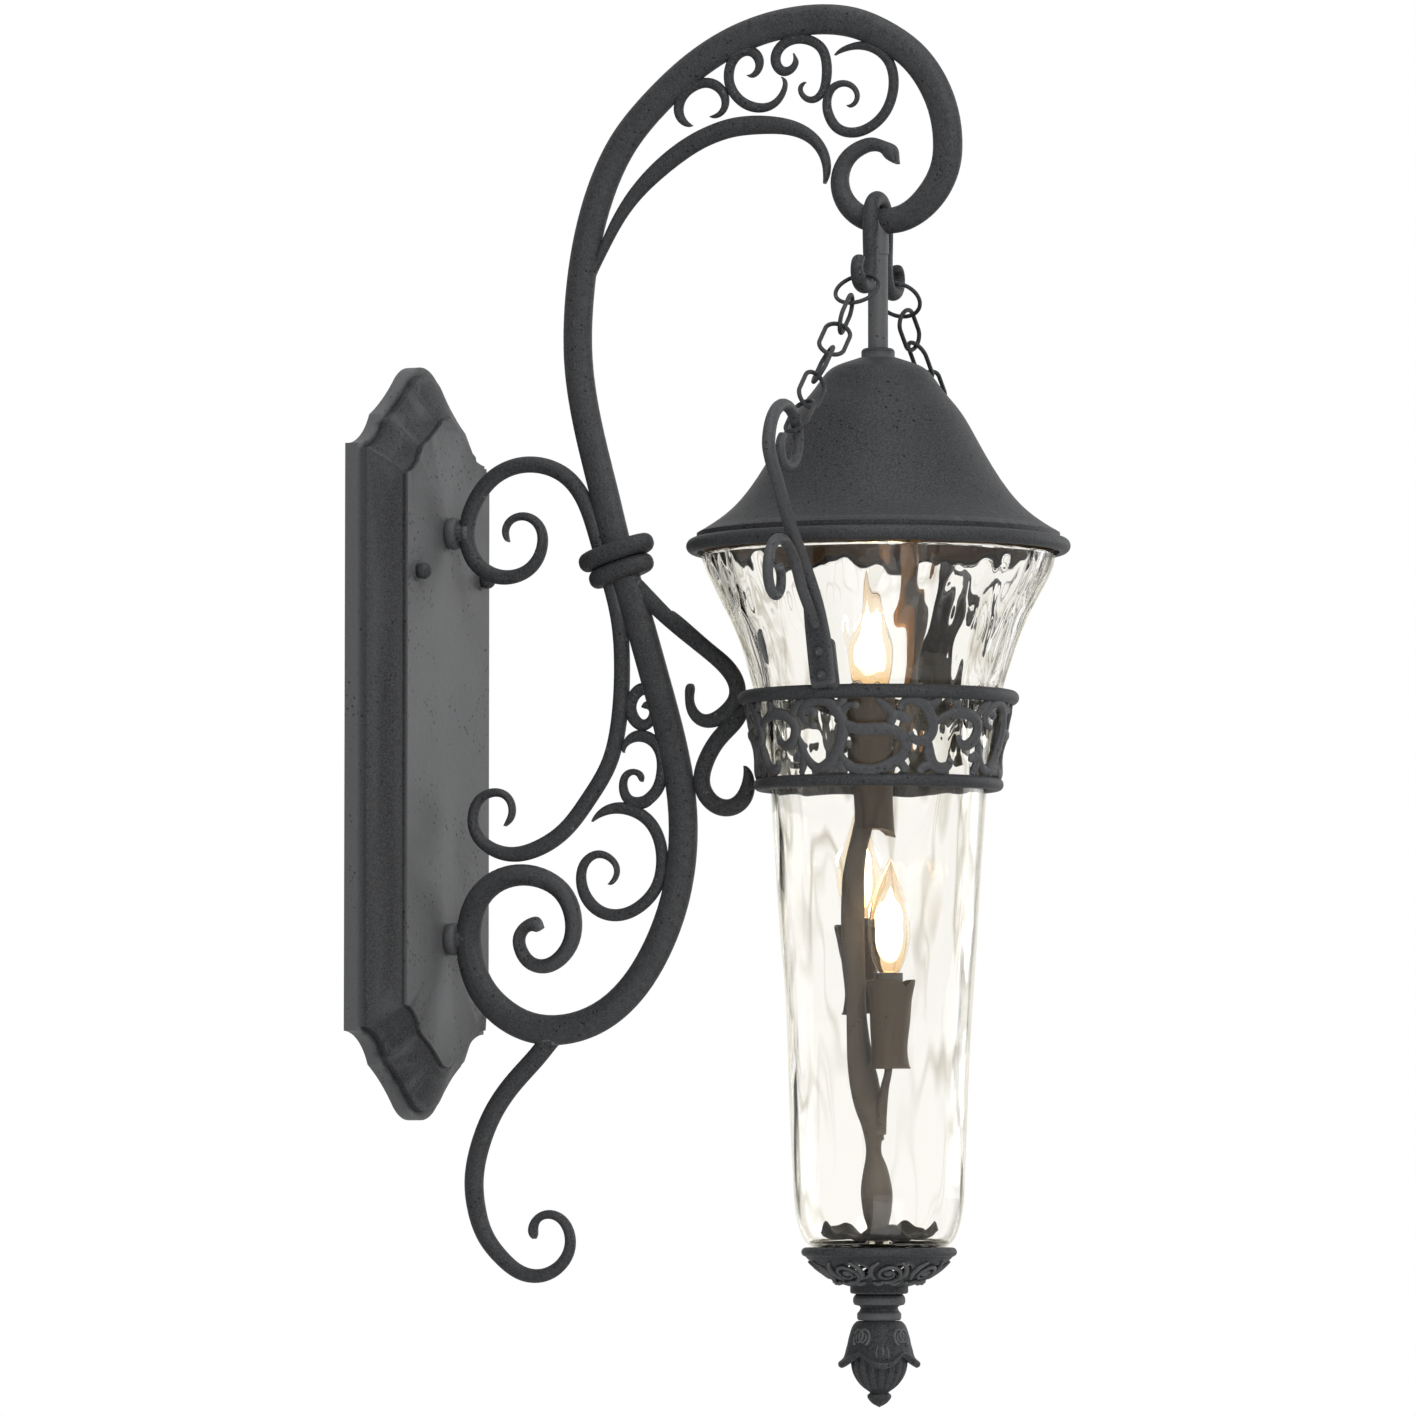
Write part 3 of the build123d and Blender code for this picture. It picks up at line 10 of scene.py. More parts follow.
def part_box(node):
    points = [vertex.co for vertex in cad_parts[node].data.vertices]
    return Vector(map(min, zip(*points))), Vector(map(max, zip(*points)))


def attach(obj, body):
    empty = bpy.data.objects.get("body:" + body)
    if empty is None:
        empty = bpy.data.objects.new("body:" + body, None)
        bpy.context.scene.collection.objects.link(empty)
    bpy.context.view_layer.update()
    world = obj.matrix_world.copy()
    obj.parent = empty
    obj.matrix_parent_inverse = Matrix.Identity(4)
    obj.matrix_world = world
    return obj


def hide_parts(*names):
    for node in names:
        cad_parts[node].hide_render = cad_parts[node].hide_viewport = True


bl_info = {
    "name": "Outdoor wall light",
    "version": (1, 0, 0),
    "blender": (4, 5, 0),
    "location": "View3D > Sidebar > Wall light",
    "description": "Dresses the wall light: cast metal, rippled shade, leafwork and lit bulbs",
    "category": "Object",
}

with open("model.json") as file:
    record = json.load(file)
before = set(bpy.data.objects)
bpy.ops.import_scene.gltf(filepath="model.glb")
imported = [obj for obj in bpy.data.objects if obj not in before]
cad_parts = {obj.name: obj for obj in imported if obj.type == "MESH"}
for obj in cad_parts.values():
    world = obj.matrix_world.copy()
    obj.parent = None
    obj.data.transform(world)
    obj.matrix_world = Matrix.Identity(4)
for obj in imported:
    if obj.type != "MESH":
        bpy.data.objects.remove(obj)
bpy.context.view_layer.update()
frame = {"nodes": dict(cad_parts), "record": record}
nodes = frame["nodes"]

MM = 0.001
shade_low, shade_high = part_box("glass_shade")
cup_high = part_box("bottom_cup")[1]
finial_low, finial_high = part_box("finial")
AXIS = (shade_low + shade_high) / 2
AXIS.z = 0
SHADE_FOOT = shade_low.z
VIEW_TURN = radians(-66.7)  # heading of the camera, and of the plane that the vine spreads in
RING_BEAD = 5.0 * MM
LUG_SLOPE = radians(16)
BOSS_RADIUS = 12.0 * MM


# Small tools for modelling by operators
def deselect():
    """Nothing selected, and no piece in edit mode."""
    if bpy.context.object and bpy.context.object.mode != "OBJECT":
        bpy.ops.object.mode_set(mode="OBJECT")
    bpy.ops.object.select_all(action="DESELECT")


def pick(piece):
    """Only this piece selected and active."""
    deselect()
    piece.select_set(True)
    bpy.context.view_layer.objects.active = piece


def settle(piece):
    """Put the piece's place, turn and scale into its mesh."""
    pick(piece)
    bpy.ops.object.transform_apply(location=True, rotation=True, scale=True)


def draw_line(name, points):
    """A chain of edges drawn point by point, left in edit mode."""
    deselect()
    bpy.ops.mesh.primitive_plane_add(size=MM, location=points[0])
    piece = bpy.context.object
    piece.name = name
    bpy.ops.object.transform_apply(location=True, rotation=False, scale=False)
    bpy.ops.object.mode_set(mode="EDIT")
    bpy.ops.mesh.select_all(action="SELECT")
    bpy.ops.mesh.merge(type="CENTER")
    for before, here in zip(points, points[1:]):
        step = Vector(here) - Vector(before)
        bpy.ops.mesh.extrude_region_move(TRANSFORM_OT_translate={"value": step})
    return piece


def smooth_points(points, steps):
    """Points on a soft curve through the given ones, with so many steps in each span."""
    spots = [Vector(point) for point in points]
    ends = [spots[0] * 2 - spots[1]] + spots + [spots[-1] * 2 - spots[-2]]
    curve = []
    for a, b, c, d in zip(ends, ends[1:], ends[2:], ends[3:]):
        for step in range(steps):
            t = step / steps
            rise = (2 * a - 5 * b + 4 * c - d) * t**2 + (3 * b - a - 3 * c + d) * t**3
            curve.append(0.5 * (2 * b + (c - a) * t + rise))
    curve.append(spots[-1])
    return curve


def spin_profile(name, profile, centre, steps=96):
    """A turned piece: a profile of radius and height spun round an upright axis."""
    points = [(centre.x + radius, centre.y, height) for radius, height in profile]
    piece = draw_line(name, points)
    bpy.ops.mesh.select_all(action="SELECT")
    bpy.ops.mesh.spin(steps=steps, angle=2 * pi, center=(centre.x, centre.y, 0), axis=(0, 0, 1))
    bpy.ops.mesh.select_all(action="SELECT")
    bpy.ops.mesh.remove_doubles(threshold=0.01 * MM)
    bpy.ops.mesh.normals_make_consistent(inside=False)
    bpy.ops.object.mode_set(mode="OBJECT")
    bpy.ops.object.shade_smooth()
    return piece


def forged_strip(name, points, radii, sides=2):
    """A round bar along a line, its radius given at each point."""
    piece = draw_line(name, points)
    bpy.ops.object.mode_set(mode="OBJECT")
    bpy.ops.object.convert(target="CURVE")
    piece = bpy.context.object
    piece.data.dimensions = "3D"
    piece.data.bevel_depth = 1.0
    piece.data.bevel_resolution = sides
    piece.data.use_fill_caps = True
    spline = piece.data.splines[0]
    ordered = list(spline.points)
    if (ordered[0].co.xyz - Vector(points[0])).length > (ordered[-1].co.xyz - Vector(points[0])).length:
        ordered.reverse()
    for point, radius in zip(ordered, radii):
        point.radius = radius
    bpy.ops.object.convert(target="MESH")
    piece = bpy.context.object
    bpy.ops.object.mode_set(mode="EDIT")
    bpy.ops.mesh.select_all(action="SELECT")
    bpy.ops.mesh.remove_doubles(threshold=0.01 * MM)
    bpy.ops.mesh.normals_make_consistent(inside=False)
    bpy.ops.object.mode_set(mode="OBJECT")
    bpy.ops.object.shade_smooth()
    return piece


def swelling_strip(name, points, thin, thick):
    """A strip thin at its two ends and thick in its middle."""
    last = len(points) - 1
    return forged_strip(name, points, [thin + (thick - thin) * sin(pi * n / last) for n in range(last + 1)])


def copy_turned(piece, angle, centre=None):
    """A copy with its own mesh, turned about an upright line."""
    centre = centre or AXIS
    pick(piece)
    bpy.ops.object.duplicate()
    copy = bpy.context.object
    turn = Matrix.Translation(centre) @ Matrix.Rotation(angle, 4, "Z") @ Matrix.Translation(-centre)
    copy.matrix_world = turn @ copy.matrix_world
    settle(copy)
    return copy


def join(name, pieces):
    """Several pieces made one object."""
    deselect()
    for piece in pieces:
        piece.select_set(True)
    bpy.context.view_layer.objects.active = pieces[0]
    bpy.ops.object.join()
    joined = bpy.context.object
    joined.name = name
    joined.data.name = name
    return joined


def add_modifier(piece, kind, **settings):
    """Add a modifier to a piece and apply it."""
    pick(piece)
    modifier = piece.modifiers.new(kind.title(), kind)
    for key, value in settings.items():
        setattr(modifier, key, value)
    bpy.ops.object.modifier_apply(modifier=modifier.name)


def dress(piece, material, body, replaced=()):
    """Finish a piece: its material, the body it rides on and the nodes it stands for."""
    piece.data.materials.clear()
    piece.data.materials.append(material)
    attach(piece, body)
    if replaced:
        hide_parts(*replaced)


# Shader maths as expressions
class Wire:
    """A socket of a shader tree whose operators add Math nodes."""

    def __init__(self, shader, socket):
        self.shader = shader
        self.socket = socket

    def maths(self, operation, first, second=0.0):
        node = self.shader.add("ShaderNodeMath", {"operation": operation}, {0: first, 1: second})
        return Wire(self.shader, node.outputs[0])

    def __add__(self, other):
        return self.maths("ADD", self, other)

    def __radd__(self, other):
        return self.maths("ADD", other, self)

    def __sub__(self, other):
        return self.maths("SUBTRACT", self, other)

    def __rsub__(self, other):
        return self.maths("SUBTRACT", other, self)

    def __mul__(self, other):
        return self.maths("MULTIPLY", self, other)

    def __rmul__(self, other):
        return self.maths("MULTIPLY", other, self)

    def __truediv__(self, other):
        return self.maths("DIVIDE", self, other)

    def clamp(self):
        node = self.shader.add("ShaderNodeClamp", {}, {0: self})
        return Wire(self.shader, node.outputs[0])


class Shader:
    """A material's node tree, with one way to add a node."""

    def __init__(self, name):
        self.material = bpy.data.materials.new(name)
        self.material.use_nodes = True
        self.tree = self.material.node_tree
        self.surface = self.tree.nodes["Principled BSDF"]
        self.output = self.tree.nodes["Material Output"]
        place = self.add("ShaderNodeTexCoord")
        self.place = Wire(self, place.outputs["Object"])

    def add(self, kind, settings=None, values=None):
        node = self.tree.nodes.new(kind)
        for key, value in (settings or {}).items():
            if key == "stops":
                ramp = node.color_ramp
                while len(ramp.elements) < len(value):
                    ramp.elements.new(0.5)
                for element, (position, colour) in zip(ramp.elements, value):
                    element.position = position
                    element.color = colour
            else:
                setattr(node, key, value)
        for key, value in (values or {}).items():
            self.set(node, key, value)
        return node

    def set(self, node, key, value):
        if isinstance(value, Wire):
            self.tree.links.new(value.socket, node.inputs[key])
        else:
            node.inputs[key].default_value = value

    def noise(self, scale, detail=3.0, roughness=0.55, place=None):
        values = {"Vector": place or self.place, "Scale": scale, "Detail": detail, "Roughness": roughness}
        return Wire(self, self.add("ShaderNodeTexNoise", {}, values).outputs["Fac"])

    def cells(self, scale, place=None):
        values = {"Vector": place or self.place, "Scale": scale}
        return Wire(self, self.add("ShaderNodeTexVoronoi", {}, values).outputs["Distance"])

    def ramp(self, factor, stops):
        node = self.add("ShaderNodeValToRGB", {"stops": stops}, {"Fac": factor})
        return Wire(self, node.outputs["Color"])

    def blend(self, factor, first, second):
        node = self.add("ShaderNodeMix", {"data_type": "RGBA"}, {"Factor": factor, 6: first, 7: second})
        return Wire(self, node.outputs[2])

    def stretch(self, scale):
        node = self.add("ShaderNodeMapping", {}, {"Vector": self.place, "Scale": scale})
        return Wire(self, node.outputs[0])

    def bump(self, height, strength, distance):
        values = {"Height": height, "Strength": strength, "Distance": distance}
        node = self.add("ShaderNodeBump", {}, values)
        self.set(self.surface, "Normal", Wire(self, node.outputs[0]))

    def axes(self, vector):
        node = self.add("ShaderNodeSeparateXYZ", {}, {"Vector": vector})
        return [Wire(self, node.outputs[axis]) for axis in ("X", "Y", "Z")]


def grey(value, warm=0.0):
    """A near-neutral colour."""
    return (value * (1 + warm), value, value * (1 - warm), 1)


def darker(colour, share):
    """A colour with this share of its light."""
    return tuple(part * share for part in colour[:3]) + (1,)


def cast_metal(name, colour, wear_and_highlight, grain=1.0, inside=None):
    """Sand-cast metal coated with textured matt paint: fine pits darkened with painted shade, faint clouds,
    worn high spots that also carry a painted highlight, and when a glow colour and reach are given, a
    painted warm glow of the bulbs on faces that look down and in.
    """
    shader = Shader(name)
    clouds = shader.noise(14, 4)
    sand = shader.noise(700, 2, 0.6)
    pits = (1.1 - shader.cells(190) * 4.6).clamp() * ((shader.noise(26) - 0.47) * 12).clamp()
    edge = shader.add("ShaderNodeNewGeometry")
    # Painted highlight as well as real rubbing: convex edges, found by pointiness, are lightened towards the
    # worn colour.
    worn_and_highlit = ((Wire(shader, edge.outputs["Pointiness"]) - 0.507) * 14).clamp()
    base = shader.blend(clouds, darker(colour, 0.82), colour)
    speck = ((sand - 0.5) * 2.4 + 0.5).clamp()
    base = shader.blend(speck * 0.30, base, wear_and_highlight)
    base = shader.blend(worn_and_highlit * 0.6, base, wear_and_highlight)
    # Painted light: faces that look down and in, within the reach, are lit with a warm colour that stands
    # for the bulbs' glow.
    if inside:
        reach, (x, y, z) = inside[1], shader.axes(shader.place)
        square = x * x + (y - AXIS.y) * (y - AXIS.y)
        radius = square.maths("SQRT", square)
        turned = shader.axes(Wire(shader, edge.outputs["Normal"]))
        inwards = (x * turned[0] + (y - AXIS.y) * turned[1]) / radius
        painted_glow_mask = ((inwards + turned[2]) * -3 - 0.6).clamp() * ((reach - radius) * 900).clamp()
        base = shader.blend(painted_glow_mask, base, inside[0])
    # Painted shade: the pits are darkened to stand for the shade that falls in them.
    base = shader.blend(pits * 0.75, base, darker(colour, 0.30))
    shader.set(shader.surface, "Base Color", base)
    shader.set(shader.surface, "Roughness", (0.44 + clouds * 0.14 + sand * 0.08).clamp())
    shader.surface.inputs["Metallic"].default_value = 0.15
    shader.surface.inputs["Specular IOR Level"].default_value = 0.10
    deep = shader.noise(150, 3)
    shader.bump(sand * 0.6 + deep * 0.8 - pits * 2.4, 0.6 * grain, 0.8 * MM)
    return shader.material


def clear_glass(name, colour):
    """Clear rippled glass with faint painted refraction streaks in its tint and pale edges, that shadows
    lightly.
    """
    shader = Shader(name)
    surface = shader.surface
    surface.inputs["Roughness"].default_value = 0.0
    surface.inputs["IOR"].default_value = 1.26
    surface.inputs["Specular IOR Level"].default_value = 0.35
    surface.inputs["Transmission Weight"].default_value = 1.0
    streaks = shader.noise(42, 1.5, 0.5, shader.stretch((1, 1, 0.20)))
    shader.bump(streaks, 0.35, 2.2 * MM)
    # Painted refraction: brownish streaks in the glass's tint stand for darker things seen bent through the
    # ripples.
    folds = shader.noise(40, 1.0, 0.5, shader.stretch((1, 1, 0.22)))
    away = folds - 0.5
    ridge = (1 - away.maths("ABSOLUTE", away) * 22).clamp()
    broad = ((shader.noise(11, 1.0, 0.5, shader.stretch((1, 1, 0.3))) - 0.42) * 7).clamp()
    painted_refraction_streaks = shader.blend(ridge * broad * 0.9, colour, (0.60, 0.565, 0.48, 1))
    shader.set(surface, "Base Color", painted_refraction_streaks)
    clear = shader.add("ShaderNodeBsdfTransparent", {}, {"Color": (0.90, 0.885, 0.83, 1)})
    rays = shader.add("ShaderNodeLightPath")
    facing = Wire(shader, shader.add("ShaderNodeLayerWeight", {}, {"Blend": 0.5}).outputs["Facing"])
    edge = ((facing - 0.60) * 3.2).clamp()
    mixed = shader.add("ShaderNodeMixShader")
    shader.set(mixed, 0, (Wire(shader, rays.outputs["Is Shadow Ray"]) + edge).clamp())
    shader.tree.links.new(surface.outputs[0], mixed.inputs[1])
    shader.tree.links.new(clear.outputs[0], mixed.inputs[2])
    shader.tree.links.new(mixed.outputs[0], shader.output.inputs["Surface"])
    return shader.material


def lit_glass(name, foot, length):
    """The clear envelope of a lit candle bulb, its tint painted with the filament's glow: peach at its ends,
    warm white where the filament burns.
    """
    shader = Shader(name)
    along = ((shader.axes(shader.place)[2] - foot) / length).clamp()
    shader.set(shader.surface, "Base Color", shader.ramp(along, (
        (0.0, (1.0, 0.80, 0.56, 1)),
        (0.16, (1.0, 0.91, 0.76, 1)),
        (0.42, (1.0, 0.95, 0.86, 1)),
        (0.70, (0.98, 0.90, 0.79, 1)),
        (1.0, (0.90, 0.78, 0.66, 1)),
    )))
    shader.surface.inputs["Transmission Weight"].default_value = 1.0
    shader.surface.inputs["IOR"].default_value = 1.12
    shader.surface.inputs["Roughness"].default_value = 0.02
    return shader.material


def glow(name, foot, length):
    """The burning filament's light inside a bulb."""
    shader = Shader(name)
    along = ((shader.axes(shader.place)[2] - foot) / length).clamp()
    colour = shader.ramp(along, (
        (0.0, (1.0, 0.86, 0.60, 1)),
        (0.30, (1.0, 0.98, 0.90, 1)),
        (0.65, (1.0, 0.93, 0.80, 1)),
        (1.0, (1.0, 0.76, 0.50, 1)),
    ))
    shader.set(shader.surface, "Base Color", colour)
    shader.set(shader.surface, "Emission Color", colour)
    shader.surface.inputs["Emission Strength"].default_value = 2.0
    return shader.material


def painted(name, look):
    """The cast metal in the paint that the user chose."""
    return cast_metal(name, tuple(look.paint), tuple(look.paint_wear_and_highlight))


def bronzed(name, look):
    """The dark bronze of the pieces inside the shade."""
    return cast_metal(name, tuple(look.bronze), grey(0.12, 0.15), 0.8)


def plain_metal(name, colour, roughness, grain):
    """Bare or plated metal with fine lines of handling."""
    shader = Shader(name)
    lines = shader.noise(300, 2, 0.5, shader.stretch((1, 1, 0.15)))
    clouds = shader.noise(60, 3)
    shader.set(shader.surface, "Base Color", shader.blend(clouds, colour, darker(colour, 0.8)))
    shader.set(shader.surface, "Roughness", (roughness + (clouds - 0.5) * 0.2).clamp())
    shader.surface.inputs["Metallic"].default_value = 1.0
    shader.bump(lines, grain, 0.1 * MM)
    return shader.material


# Sizes and colours that a user would change
class WallLightLook(bpy.types.PropertyGroup):
    """Colours and sizes of the wall light's finish, with the colours of its painted highlights and of a
    painted bulb glow.
    """

    paint: bpy.props.FloatVectorProperty(
        name="Paint", description="Colour of the cast metal", subtype="COLOR", size=4, min=0, max=1,
        default=(0.0185, 0.0192, 0.0212, 1),
    )
    # The worn colour also lightens sand specks, and on convex edges it is a painted highlight as well as
    # worn paint.
    paint_wear_and_highlight: bpy.props.FloatVectorProperty(
        name="Worn paint", description="Colour of rubbed high spots", subtype="COLOR", size=4, min=0, max=1,
        default=(0.125, 0.127, 0.130, 1),
    )
    bronze: bpy.props.FloatVectorProperty(
        name="Inner bronze", description="Colour of the vine and the feed inside the shade", subtype="COLOR",
        size=4, min=0, max=1, default=(0.026, 0.021, 0.016, 1),
    )
    leaf: bpy.props.FloatVectorProperty(
        name="Leaf brown", description="Colour of the leaves inside the shade", subtype="COLOR",
        size=4, min=0, max=1, default=(0.046, 0.036, 0.027, 1),
    )
    # Painted light: this brown-orange stands for the upper bulb's warm light falling on the feed leaf, not
    # for a colour of its own.
    painted_bulb_glow: bpy.props.FloatVectorProperty(
        name="Amber leaf", description="Colour of the leaf that the upper bulb lights", subtype="COLOR",
        size=4, min=0, max=1, default=(0.150, 0.078, 0.030, 1),
    )
    glass_tint: bpy.props.FloatVectorProperty(
        name="Glass tint", description="Tint of the shade", subtype="COLOR", size=4, min=0, max=1,
        default=(0.985, 0.975, 0.945, 1),
    )
    ripple: bpy.props.FloatProperty(
        name="Ripple", description="Depth of the shade's ripples", subtype="DISTANCE", unit="LENGTH",
        default=0.0030,
    )
    glass_wall: bpy.props.FloatProperty(
        name="Glass wall", description="Thickness of the shade", subtype="DISTANCE", unit="LENGTH",
        default=0.0030,
    )


def leaf_bronze(look):
    """Brown cast metal of the leafwork inside the shade."""
    return cast_metal("Leaf bronze", tuple(look.leaf), darker(tuple(look.leaf), 1.6), 0.8)


class WALLLIGHT_OT_metal(bpy.types.Operator):
    """Paint the bracket, the plate and the lantern's castings"""

    bl_idname = "walllight.metal"
    bl_label = "Cast metal"

    def execute(self, context):
        look = context.scene.wall_light
        paint, wear_and_highlight = tuple(look.paint), tuple(look.paint_wear_and_highlight)
        black = cast_metal("Cast black", paint, wear_and_highlight)
        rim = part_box("roof")[1].x - 9 * MM
        # The roof gets a painted warm glow of the bulbs on its faces that look down and in, up to 9 mm short
        # of its outer edge.
        roof = cast_metal("Roof cast black", paint, wear_and_highlight, 1.3, ((0.070, 0.050, 0.034, 1), rim))
        nut = cast_metal("Satin black nut", paint, wear_and_highlight, 0.3)
        bronze = bronzed("Inner bronze", look)
        zinc = plain_metal("Zinc plate", grey(0.62, 0.01), 0.38, 0.2)
        brass = plain_metal("Lamp cap brass", (0.78, 0.60, 0.32, 1), 0.30, 0.3)
        plastic = cast_metal("Holder plastic", grey(0.05, 0.08), grey(0.08, 0.08), 0.2)
        finishes = {"black_metal": black, "black_nut": nut, "bronze_tube": bronze, "zinc_steel": zinc}
        finishes.update({"bulb_brass": brass, "holder_plastic": plastic})
        slots = {entry["node"]: entry["material_slot"] for entry in frame["record"]["subparts"]}
        for name, node in nodes.items():
            finish = finishes.get(slots[name])
            if name in ("vine_stem", "candle_cups", "centre_rod"):
                finish = bronze
            if name == "roof":
                finish = roof
            if finish:
                node.data.materials.clear()
                node.data.materials.append(finish)
        return {"FINISHED"}


class WALLLIGHT_OT_shade(bpy.types.Operator):
    """Blow the rippled shade"""

    bl_idname = "walllight.shade"
    bl_label = "Rippled shade"

    def execute(self, context):
        look = context.scene.wall_light
        shares = (
            (0.070, 0), (0.340, 0), (0.385, 0.002), (0.430, 0.018), (0.466, 0.055), (0.482, 0.113),
            (0.510, 0.296), (0.556, 0.481), (0.606, 0.662), (0.655, 0.755), (0.706, 0.812), (0.800, 0.882),
            (0.880, 0.929), (0.958, 0.968), (0.990, 0.992),
        )
        radius = (shade_high.x - shade_low.x) / 2
        height = shade_high.z - shade_low.z
        outline = [(radius * a, 0, SHADE_FOOT + 0.0006 + height * 0.996 * b) for a, b in shares]
        profile = [(point.x, point.z) for point in smooth_points(outline, 6)]
        shade = spin_profile("rippled_shade", profile, AXIS, 400)
        add_modifier(shade, "SOLIDIFY", thickness=look.glass_wall, offset=-1.0)
        for name, width, low, high, share in (
            ("broad", 30 * MM, 0.03, 0.99, 0.80),
            ("fine", 18 * MM, 0.66, 1.005, 1.0),
        ):
            waves = bpy.data.textures.new("Glass waves", "CLOUDS")
            waves.noise_scale = width
            waves.noise_depth = 1
            deselect()
            bpy.ops.object.empty_add(location=AXIS)
            ruler = bpy.context.object
            ruler.scale = (1, 1, 3.6)
            ruler.rotation_euler = (radians(6), radians(-5), 0)
            context.view_layer.update()
            pick(shade)
            group = shade.vertex_groups.new(name=name)
            for vertex in shade.data.vertices:
                part_way = (vertex.co.z - SHADE_FOOT) / height
                weight = min(1.0, max(0.0, (part_way - low) / 0.06))
                weight *= min(1.0, max(0.0, (high - part_way) / 0.02))
                group.add([vertex.index], weight, "REPLACE")
            modifier = shade.modifiers.new("Ripples", "DISPLACE")
            modifier.texture = waves
            modifier.texture_coords = "OBJECT"
            modifier.texture_coords_object = ruler
            modifier.vertex_group = group.name
            modifier.strength = look.ripple * share
            modifier.mid_level = 0.62
            bpy.ops.object.modifier_apply(modifier=modifier.name)
            shade.vertex_groups.clear()
            bpy.data.objects.remove(ruler)
            bpy.data.textures.remove(waves)
        bpy.ops.object.shade_smooth()
        glass = clear_glass("Rippled glass", tuple(look.glass_tint))
        dress(shade, glass, "bracket", ["glass_shade"])
        return {"FINISHED"}


class WALLLIGHT_OT_band(bpy.types.Operator):
    """Cast the leafy scrolls of the basket band"""

    bl_idname = "walllight.band"
    bl_label = "Band scrolls"

    def execute(self, context):
        look = context.scene.wall_light
        upper_low, upper_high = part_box("band_upper_ring")
        lower_low, lower_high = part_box("band_lower_ring")
        upper_radius = (upper_high.y - upper_low.y) / 2 - RING_BEAD
        lower_radius = (lower_high.y - lower_low.y) / 2 - 4.6 * MM
        lower_level = (lower_low.z + lower_high.z) / 2
        height = 62 * MM
        slope = atan2(upper_radius - lower_radius, height)
        middle = (upper_radius + lower_radius) / 2

        def on_band(across, up, proud=0.0):
            """A point of the band's cone, from shares of its height."""
            angle = across * height / middle
            radius = middle + up * height * sin(slope) + proud
            level = lower_level + height / 2 + up * height * cos(slope)
            return Vector((AXIS.x + radius * sin(angle), AXIS.y - radius * cos(angle), level))

        def stroke(name, shares, thick, swell=1.0):
            """One tapered stroke of the casting, thickest in its middle."""
            points = smooth_points([on_band(a, b) for a, b in shares], 5)
            count = len(points) - 1
            radii = []
            for number in range(len(points)):
                near_end = min(number, count - number) / count
                radius = thick * (0.42 + 0.58 * min(1.0, near_end / 0.28))
                if min(number, count - number) in (1, 2):
                    radius *= 1.25 * swell
                if min(number, count - number) == 0:
                    radius *= 0.5
                radii.append(radius)
            piece = forged_strip(name, points, radii, 3)
            for vertex in piece.data.vertices:
                up = (vertex.co.z - lower_level - height / 2) / (height * cos(slope))
                cone = middle + up * height * sin(slope)
                side = Vector((vertex.co.x - AXIS.x, vertex.co.y - AXIS.y, 0))
                vertex.co += side.normalized() * (cone - side.length) * 0.38
            return piece

        motifs = (
            (-93.5, (
                ((-0.078, 0.106), (-0.186, 0.147), (-0.248, 0.242), (-0.186, 0.364), (-0.047, 0.425),
                 (0.109, 0.378), (0.217, 0.228), (0.242, 0.065), (0.186, -0.125), (0.062, -0.300),
                 (-0.093, -0.370), (-0.217, -0.290), (-0.280, -0.150), (-0.235, -0.084)),
                ((-0.200, 0.300), (-0.120, 0.290), (-0.060, 0.225)),
                ((0.020, -0.440), (0.150, -0.330), (0.270, -0.430)),
                ((0.120, 0.330), (0.220, 0.370), (0.290, 0.450)),
            )),
            (-70.2, (
                ((-0.150, 0.345), (-0.271, 0.341), (-0.350, 0.248), (-0.327, 0.141), (-0.187, 0.075),
                 (0.008, 0.069), (0.176, 0.070), (0.316, -0.005), (0.375, -0.112), (0.330, -0.232),
                 (0.176, -0.340), (-0.020, -0.400), (-0.229, -0.380), (-0.360, -0.285),
                 (-0.400, -0.179), (-0.350, -0.099), (-0.250, -0.095)),
                ((0.040, 0.440), (0.120, 0.350), (0.204, 0.250), (0.195, 0.150), (0.130, 0.085)),
                ((0.190, 0.250), (0.288, 0.225), (0.420, 0.165)),
                ((-0.360, 0.200), (-0.420, 0.260), (-0.440, 0.360)),
                ((-0.330, -0.300), (-0.420, -0.330), (-0.480, -0.430)),
                ((0.240, -0.290), (0.330, -0.330), (0.400, -0.430)),
            )),
            (-49.9, (
                ((-0.230, 0.290), (-0.180, 0.385), (-0.070, 0.415), (0.040, 0.364), (0.132, 0.228),
                 (0.171, 0.079), (0.118, -0.030), (0.029, -0.065), (-0.059, -0.030), (-0.110, 0.050)),
                ((0.125, 0.000), (0.135, -0.100), (0.150, -0.200), (0.212, -0.330), (0.324, -0.375),
                 (0.425, -0.330), (0.450, -0.255)),
                ((-0.300, 0.200), (-0.230, 0.240), (-0.150, 0.170)),
                ((0.050, 0.360), (0.150, 0.370), (0.230, 0.440)),
                ((0.190, -0.320), (0.090, -0.360), (0.030, -0.440)),
            )),
            (-29.6, (
                ((-0.390, 0.060), (-0.267, 0.184), (-0.107, 0.258), (0.071, 0.268), (0.224, 0.219),
                 (0.299, 0.101), (0.249, -0.036), (0.135, -0.099), (0.036, -0.060), (0.010, 0.020)),
                ((0.220, 0.225), (0.300, 0.290), (0.380, 0.380), (0.480, 0.430)),
                ((0.290, 0.050), (0.350, -0.080), (0.370, -0.230), (0.340, -0.360), (0.300, -0.440)),
                ((-0.100, 0.262), (-0.060, 0.350), (-0.080, 0.440)),
                ((0.360, -0.170), (0.290, -0.240), (0.215, -0.220)),
            )),
        )
        copies = []
        for turn, strokes in motifs:
            first = [stroke("scroll", spots, 4.3 * MM if len(spots) > 6 else 3.3 * MM) for spots in strokes]
            for quarter in range(4):
                copies += [copy_turned(piece, radians(turn) + quarter * pi / 2) for piece in first]
            for piece in first:
                bpy.data.objects.remove(piece)
        band = join("band_casting", copies)
        dress(band, painted("Band cast black", look), "bracket", ["band_scrolls"])
        return {"FINISHED"}


